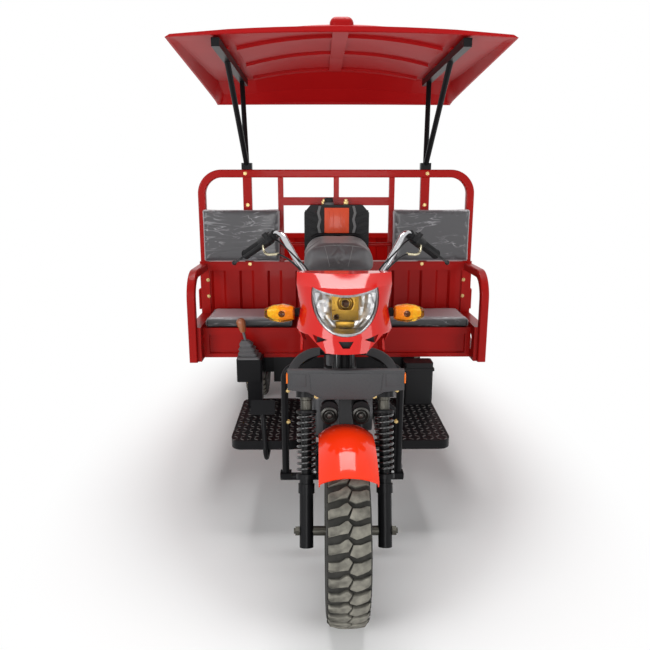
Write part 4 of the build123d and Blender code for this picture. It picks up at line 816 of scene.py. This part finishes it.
# Footboards: black painted tread plate, with raised lozenges pressed across the standing surface.
# The lozenges' tops are worn to bright steel.
BOARD_TOP = 394.0
LOZENGE_ROWS = 18
LOZENGE_COLUMNS = 10
LOZENGE_PITCH = 27.0
FIRST_X = 166.0
FIRST_Y = 480.0
LOZENGE = Matrix.Diagonal((0.026, 0.008, 1, 1))  # its length and width in metres
worn_steel = bright("worn_steel", (0.16, 0.155, 0.15), 0.34, 300)
shape = bmesh.new()
for side in (-1, 1):
    for row in range(LOZENGE_ROWS):
        for column in range(LOZENGE_COLUMNS):
            x = side * (FIRST_X + column * LOZENGE_PITCH)
            y = FIRST_Y + row * LOZENGE_PITCH
            lean = 1 if (row + column) % 2 else -1
            stand = Matrix.Translation(spot(x, y, BOARD_TOP + 0.6))
            turn = Matrix.Rotation(lean * radians(45), 4, "Z")
            bmesh.ops.create_cone(
                shape, cap_ends=True, segments=6, radius1=0.5, radius2=0.34, depth=0.0018,
                matrix=stand @ turn @ LOZENGE,
            )
make_piece("footboard_treads", shape, worn_steel, "chassis", sharp=20)

# Gear lever knob: turned and varnished wood on the lever's end.
# Its grain runs along the lever.
KNOB = (
    (-60.0, 8.0), (-58.0, 12.0), (-42.0, 16.0), (-18.0, 20.0), (-6.0, 19.0), (0.0, 14.5), (3.0, 7.0),
    (3.6, 0.5),
)  # along the lever, and radius
KNOB_TOP = (-428, 890, 783)
LEVER_RUN = (-36, -10, 174)
knob_wood, wood_nodes, wood_link = new_material("knob_wood")
wood_skin = wood_nodes["Principled BSDF"]
wood_skin.inputs["Roughness"].default_value = 0.30
wood_skin.inputs["Coat Weight"].default_value = 0.4
wood_place = wood_nodes.new("ShaderNodeTexCoord")
grain = wood_nodes.new("ShaderNodeTexWave")
grain.inputs["Scale"].default_value = 70.0
grain.inputs["Distortion"].default_value = 4.0
wood_link.new(wood_place.outputs["Object"], grain.inputs["Vector"])
two_tone(wood_nodes, wood_link, grain.outputs["Fac"], (0.26, 0.065, 0.016), (0.46, 0.150, 0.045))
shape = bmesh.new()
spun_part(shape, KNOB, 28, facing(spot(*KNOB_TOP), LEVER_RUN))
make_piece("gear_knob", shape, knob_wood, "chassis")


# Padded seats: black vinyl covers over foam, for the rider's saddle, the bench and the backrests.
# Each is a rounded block that is blown up like a filled cover and then meets its seat flat.
def vinyl_skin(name, colour):
    material, shader, link = new_material(name)
    skin = shader["Principled BSDF"]
    skin.inputs["Roughness"].default_value = 0.40
    skin.inputs["Specular IOR Level"].default_value = 0.5
    skin.inputs["Sheen Weight"].default_value = 0.25
    place = shader.new("ShaderNodeTexCoord")
    pores = shader.new("ShaderNodeTexVoronoi")
    pores.inputs["Scale"].default_value = 620.0
    link.new(place.outputs["Object"], pores.inputs["Vector"])
    two_tone(shader, link, piece_noise(shader, link, 14.0, 5.0), shade(colour, 0.7), shade(colour, 1.4))
    relief(shader, link, pores.outputs["Distance"], 0.3, 0.0005)
    return material


def rounded_block(node, inset, corner):
    """A block on a CAD node's box, drawn in by an inset and with all its edges rounded."""
    low, high = (Vector(place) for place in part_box(node))
    shape = bmesh.new()
    bmesh.ops.create_cube(shape, size=1.0)
    bmesh.ops.scale(shape, vec=high - low - Vector((inset, inset, inset)) * 0.002, verts=shape.verts)
    bmesh.ops.bevel(
        shape, geom=list(shape.edges), offset=corner * 0.001, affect="EDGES", segments=4, profile=0.5,
        material=-1,
    )
    bmesh.ops.translate(shape, vec=(low + high) / 2, verts=shape.verts)
    return shape


PAD_GRID = 0.005  # size of the even faces that a pad is made of
PAD_PRESSURE = 4.0
SWELL_FRAMES = 20


def blow_up(thing, most):
    """Swell a closed pad by cloth simulation, with no point moving further than a set distance."""
    scene = bpy.context.scene
    even = thing.modifiers.new("even", "REMESH")
    even.mode = "VOXEL"
    even.voxel_size = PAD_GRID
    view = bpy.context.evaluated_depsgraph_get()
    thing.data = bpy.data.meshes.new_from_object(thing.evaluated_get(view))
    thing.modifiers.clear()
    start = [point.co.copy() for point in thing.data.vertices]
    filling = thing.modifiers.new("filling", "CLOTH")
    filling.settings.use_pressure = True
    filling.settings.uniform_pressure_force = PAD_PRESSURE
    filling.settings.effector_weights.gravity = 0
    filling.settings.quality = 5
    for step in range(1, SWELL_FRAMES + 1):
        scene.frame_set(step)
    view = bpy.context.evaluated_depsgraph_get()
    swollen = bpy.data.meshes.new_from_object(thing.evaluated_get(view))
    thing.modifiers.clear()
    for point, begin in zip(swollen.vertices, start):
        move = point.co - begin
        if move.length > most:
            point.co = begin + move * (most / move.length)
    thing.data = swollen
    scene.frame_set(1)


def soft_pad(name, node, shape, material, most, axis, side):
    """A block blown up into a pad that rests flat on one side of the node's box along one axis."""
    pad = make_piece(name, shape, material, "chassis", sharp=180)
    blow_up(pad, most)
    low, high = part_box(node)
    for point in pad.data.vertices:
        if side < 0:
            point.co[axis] = max(point.co[axis], low[axis])
        else:
            point.co[axis] = min(point.co[axis], high[axis])
    if not pad.data.materials:
        pad.data.materials.append(material)
    pad.data.polygons.foreach_set("use_smooth", [True] * len(pad.data.polygons))
    fine = pad.modifiers.new("fine", "SUBSURF")
    fine.levels = 1
    fine.render_levels = 1
    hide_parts(node)
    return pad


# Rider's saddle: grained vinyl over moulded foam, crowned and narrower at the top, on the pedestal.
# Two seams run down its front from a cross seam at the top edge, sewn with pale thread.
seat_vinyl = vinyl_skin("seat_vinyl", (0.105, 0.105, 0.110))
shape = rounded_block("rider_seat", 2, 30)
seat_low, seat_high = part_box("rider_seat")
for point in shape.verts:
    up = (point.co.z - seat_low[2]) / (seat_high[2] - seat_low[2])
    back = (point.co.y - seat_low[1]) / (seat_high[1] - seat_low[1])
    point.co.x *= 1.04 - 0.20 * up ** 2
    point.co.z += 0.010 * up * (2 * back - 1)
saddle = soft_pad("saddle", "rider_seat", shape, seat_vinyl, 0.014, 2, -1)
THREAD = 0.0013
THREAD_LIFT = 0.0004
thread_pale = moulded("thread_pale", (0.30, 0.30, 0.30), 0.55, 900, 0.0004)
SEAM_EYE = spot(0, -1800, 1355)
CROSS_SEAM = [(x, 850, 1108 - 10 * (x / 100) ** 2) for x in range(-100, 101, 20)]
surface = BVHTree.FromObject(saddle, bpy.context.evaluated_depsgraph_get())
shape = bmesh.new()
runs = [CROSS_SEAM]
for side in (-1, 1):
    runs.append([(side * (60 - 2.4 * step), 850 - 5 * step, 1106 - 9 * step) for step in range(10)])
for run in runs:
    route = []
    for place in run:
        met, normal, _, _ = surface.ray_cast(SEAM_EYE, (spot(*place) - SEAM_EYE).normalized())
        if met:
            route.append(met + normal * THREAD_LIFT)
    add_tube(shape, route, THREAD)
make_piece("saddle_seams", shape, thread_pale, "chassis")


# Bench cushions and backrests: dark vinyl still under clear film, whose creases are painted as pale highlight
# streaks.
# The film is folded over the edges, which are painted white, partly for the folded film and partly as painted
# highlight.
def film_skin(name, colour, lean):
    material, shader, link = new_material(name)
    skin = shader["Principled BSDF"]
    skin.inputs["Roughness"].default_value = 0.45
    skin.inputs["Specular IOR Level"].default_value = 0.3
    skin.inputs["Coat Weight"].default_value = 0.4
    skin.inputs["Coat Roughness"].default_value = 0.10
    place = shader.new("ShaderNodeTexCoord")
    turn = shader.new("ShaderNodeMapping")
    turn.inputs["Rotation"].default_value = (0, lean, 0)
    turn.inputs["Scale"].default_value = (5.0, 9.0, 24.0)
    fold = shader.new("ShaderNodeTexNoise")
    fold.inputs["Scale"].default_value = 1.0
    fold.inputs["Detail"].default_value = 3.0
    fold.inputs["Distortion"].default_value = 1.2
    middle = shader.new("ShaderNodeMath")
    middle.operation = "SUBTRACT"
    middle.inputs[1].default_value = 0.5
    away = shader.new("ShaderNodeMath")
    away.operation = "ABSOLUTE"
    # Painted highlight: pale streaks along the film's creases, where light glints on the folds.
    painted_crease_highlight = shader.new("ShaderNodeMapRange")
    painted_crease_highlight.inputs["From Max"].default_value = 0.026
    painted_crease_highlight.inputs["To Min"].default_value = 0.36
    painted_crease_highlight.inputs["To Max"].default_value = 0.0
    broken = shader.new("ShaderNodeMapRange")
    broken.inputs["From Min"].default_value = 0.42
    broken.inputs["From Max"].default_value = 0.62
    streak = shader.new("ShaderNodeMath")
    streak.operation = "MULTIPLY"
    fold_and_painted_highlight = shader.new("ShaderNodeAttribute")
    fold_and_painted_highlight.attribute_name = "fold_and_painted_highlight"
    pale = shader.new("ShaderNodeMath")
    pale.operation = "MAXIMUM"
    link.new(place.outputs["Object"], turn.inputs["Vector"])
    link.new(turn.outputs["Vector"], fold.inputs["Vector"])
    link.new(fold.outputs["Fac"], middle.inputs[0])
    link.new(middle.outputs[0], away.inputs[0])
    link.new(away.outputs[0], painted_crease_highlight.inputs["Value"])
    link.new(piece_noise(shader, link, 9.0), broken.inputs["Value"])
    link.new(painted_crease_highlight.outputs["Result"], streak.inputs[0])
    link.new(broken.outputs["Result"], streak.inputs[1])
    link.new(streak.outputs[0], pale.inputs[0])
    link.new(fold_and_painted_highlight.outputs["Fac"], pale.inputs[1])
    # The pale grey is painted highlight on the crease streaks and the top faces. Along the edges it is the
    # folded film and painted highlight together.
    two_tone(shader, link, pale.outputs[0], colour, (0.66, 0.66, 0.69))
    relief(shader, link, fold.outputs["Fac"], 0.6, 0.004)
    return material


def mark_fold_and_painted_highlight(pad, axes, width, top):
    """Mark where the film is painted pale: along the pad's outline in two axes, for the folded film and
    painted highlight, and on its upper face, as painted highlight from above.
    """
    mesh = pad.data
    low = [min(point.co[axis] for point in mesh.vertices) for axis in range(3)]
    high = [max(point.co[axis] for point in mesh.vertices) for axis in range(3)]
    marks = []
    for point in mesh.vertices:
        margin = min(min(point.co[axis] - low[axis], high[axis] - point.co[axis]) for axis in axes)
        edge = max(0.0, 1 - margin / width)
        # Upper faces are painted paler the more they face up: painted highlight from the light above.
        marks.append(max(edge, top * max(0.0, point.normal.z) ** 4))
    mesh.attributes.new("fold_and_painted_highlight", "FLOAT", "POINT").data.foreach_set("value", marks)


for word, lean in (("left", 0.35), ("right", -0.15)):
    node = "backrest_" + word
    film = film_skin("back_film_" + word, (0.070, 0.070, 0.075), lean)
    back = soft_pad("back_pad_" + word, node, rounded_block(node, -1, 8), film, 0.006, 1, 1)
    mark_fold_and_painted_highlight(back, (0, 2), 0.008, 0.3)
    node = "bench_cushion_" + word
    # The cushions' vinyl is a darker copy of the backrests': painted shade, which keeps their fronts dark as
    # they sit in shade under the backrests.
    film = film_skin("bench_film_painted_shade_" + word, (0.020, 0.020, 0.022), lean)
    cushion = soft_pad("cushion_" + word, node, rounded_block(node, 3, 10), film, 0.007, 2, -1)
    mark_fold_and_painted_highlight(cushion, (0,), 0.006, 0.95)

# Reserve tank: black moulded can behind the saddle with an orange-red front panel between grey wavy trims.
# Slanted ribs stiffen its flanks, and two brass clips hold it to the rail.
tank_orange = enamel("tank_orange", (0.72, 0.070, 0.010), (0.60, 0.048, 0.007), 0.34, 0.05, 0.2, 0.3)
trim_grey = moulded("trim_grey", (0.15, 0.15, 0.152), 0.45, 300, 0.0004)
TANK_PANEL = (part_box("reserve_tank")[0][1] - AXLE_Y) * 1000  # the panel's front
TANK_FACE = TANK_PANEL + 6.3  # the can's front
TANK_TOP = 1264.0
PANEL_RIB = 5
shape = bmesh.new()
slab(shape, rectangle(-57, 57, 1090, 1252), TANK_PANEL - 1.5, TANK_PANEL + 5, 2.5)
for side in (-1, 1):
    for inner in (14, 32):
        rib = rectangle(*sorted((side * inner, side * (inner + PANEL_RIB))), 1096, 1236)
        slab(shape, rib, TANK_PANEL - 3, TANK_PANEL, 1)
make_piece("reserve_panel", shape, tank_orange, "chassis")
trims = bmesh.new()
ribs = bmesh.new()
for side in (-1, 1):
    inner = []
    outer = []
    for step in range(9):
        sway = 5 if step % 2 else -3
        height = 1012 + 31 * step
        inner.append((side * (74 + sway), height))
        outer.append((side * (86 + sway), height))
    slab(trims, inner + outer[::-1], TANK_FACE - 6, TANK_FACE + 2, 1.5)
    for step in range(7):
        low = 1006 + 34 * step
        slant = ((96, low), (146, low + 20), (146, low + 32), (96, low + 12))
        slab(ribs, [(side * x, z) for x, z in slant], TANK_FACE - 5, TANK_FACE + 2, 2)
make_piece("reserve_trims", trims, trim_grey, "chassis", sharp=30)
make_piece("reserve_ribs", ribs, black_plastic, "chassis", sharp=30)
CAP_X = -36.0
CAP_Y = TANK_FACE + 40
CAP = ((30.0, 12.0), (30.0, 17.0), (43.0, 17.0), (44.0, 20.0), (58.0, 20.0), (62.0, 17.0), (63.0, 0.5))
CAP_RING = ((0.0, 17.5), (0.0, 24.0), (3.0, 25.0), (11.0, 23.0), (11.0, 17.5))
shape = bmesh.new()
spun_part(shape, CAP, 24, facing(spot(CAP_X, CAP_Y, TANK_TOP - 30), (0, 0, 1)))
make_piece("reserve_cap", shape, black_plastic, "chassis")
shape = bmesh.new()
spun_part(shape, CAP_RING, 32, facing(spot(CAP_X, CAP_Y, TANK_TOP - 0.5), (0, 0, 1)), closed=True)
make_piece("reserve_collar", shape, trim_grey, "chassis")
CLIPS = (-58, 45)  # across
shape = bmesh.new()
for x in CLIPS:
    slab(shape, rectangle(x - 11, x + 11, TANK_TOP - 1, TANK_TOP + 16), TANK_FACE + 58, TANK_FACE + 66, 2)
    slab(shape, rectangle(x - 7, x + 7, TANK_TOP + 10, TANK_TOP + 26), TANK_FACE + 54, TANK_FACE + 66, 3)
make_piece("reserve_clips", shape, brass, "chassis")

# Bolts: plated hexagon heads with washers where the rail, front wall, leg guard and crown are fastened.
# They are driven in from the front and show as bright points.
BOLTS = (
    (426, 1406, "guard_rail"), (418, 1262, "guard_rail"), (414, 984, "front_wall"), (619, 907, "front_wall"),
    (618, 828, "front_wall"), (196, 522, "leg_guard"), (196, 640, "leg_guard"),
)  # across, height, and what it is driven into
BOLT = (
    (0.0, 9.0), (1.6, 9.0), (1.6, 6.6), (6.4, 6.6), (7.4, 5.6), (7.6, 0.5),
)  # forward of the face, and radius
CROWN_BOLTS = ((92, 700, "fork_crown"),)
for name, places, body in (("wall_bolts", BOLTS, "chassis"), ("crown_bolts", CROWN_BOLTS, "steering")):
    shape = bmesh.new()
    for across, height, node in places:
        for side in (-1, 1):
            face = first_face(node, spot(side * across, AHEAD, height), (0, 1, 0))
            if face:
                spun_part(shape, BOLT, 6, facing(face, (0, -1, 0)))
    make_piece(name, shape, brass, body, sharp=20)

# Canopy: pressed red roof shell on black beams and struts, open underneath.
# Its underside shows the ribs that stiffen it.
canopy_red = enamel("canopy_red", (0.44, 0.008, 0.009), (0.34, 0.005, 0.006), 0.42, 0.03, 0.03, 0.10)
dress(canopy_red, "canopy_roof")

# Tail lamps: red lenses on the rear bumper bar.
# Moulded acrylic, with a fine pattern under the surface.
red_lens = moulded("red_lens", (0.34, 0.008, 0.006), 0.16, 60, 0.0004)
dress(red_lens, "tail_lamps")
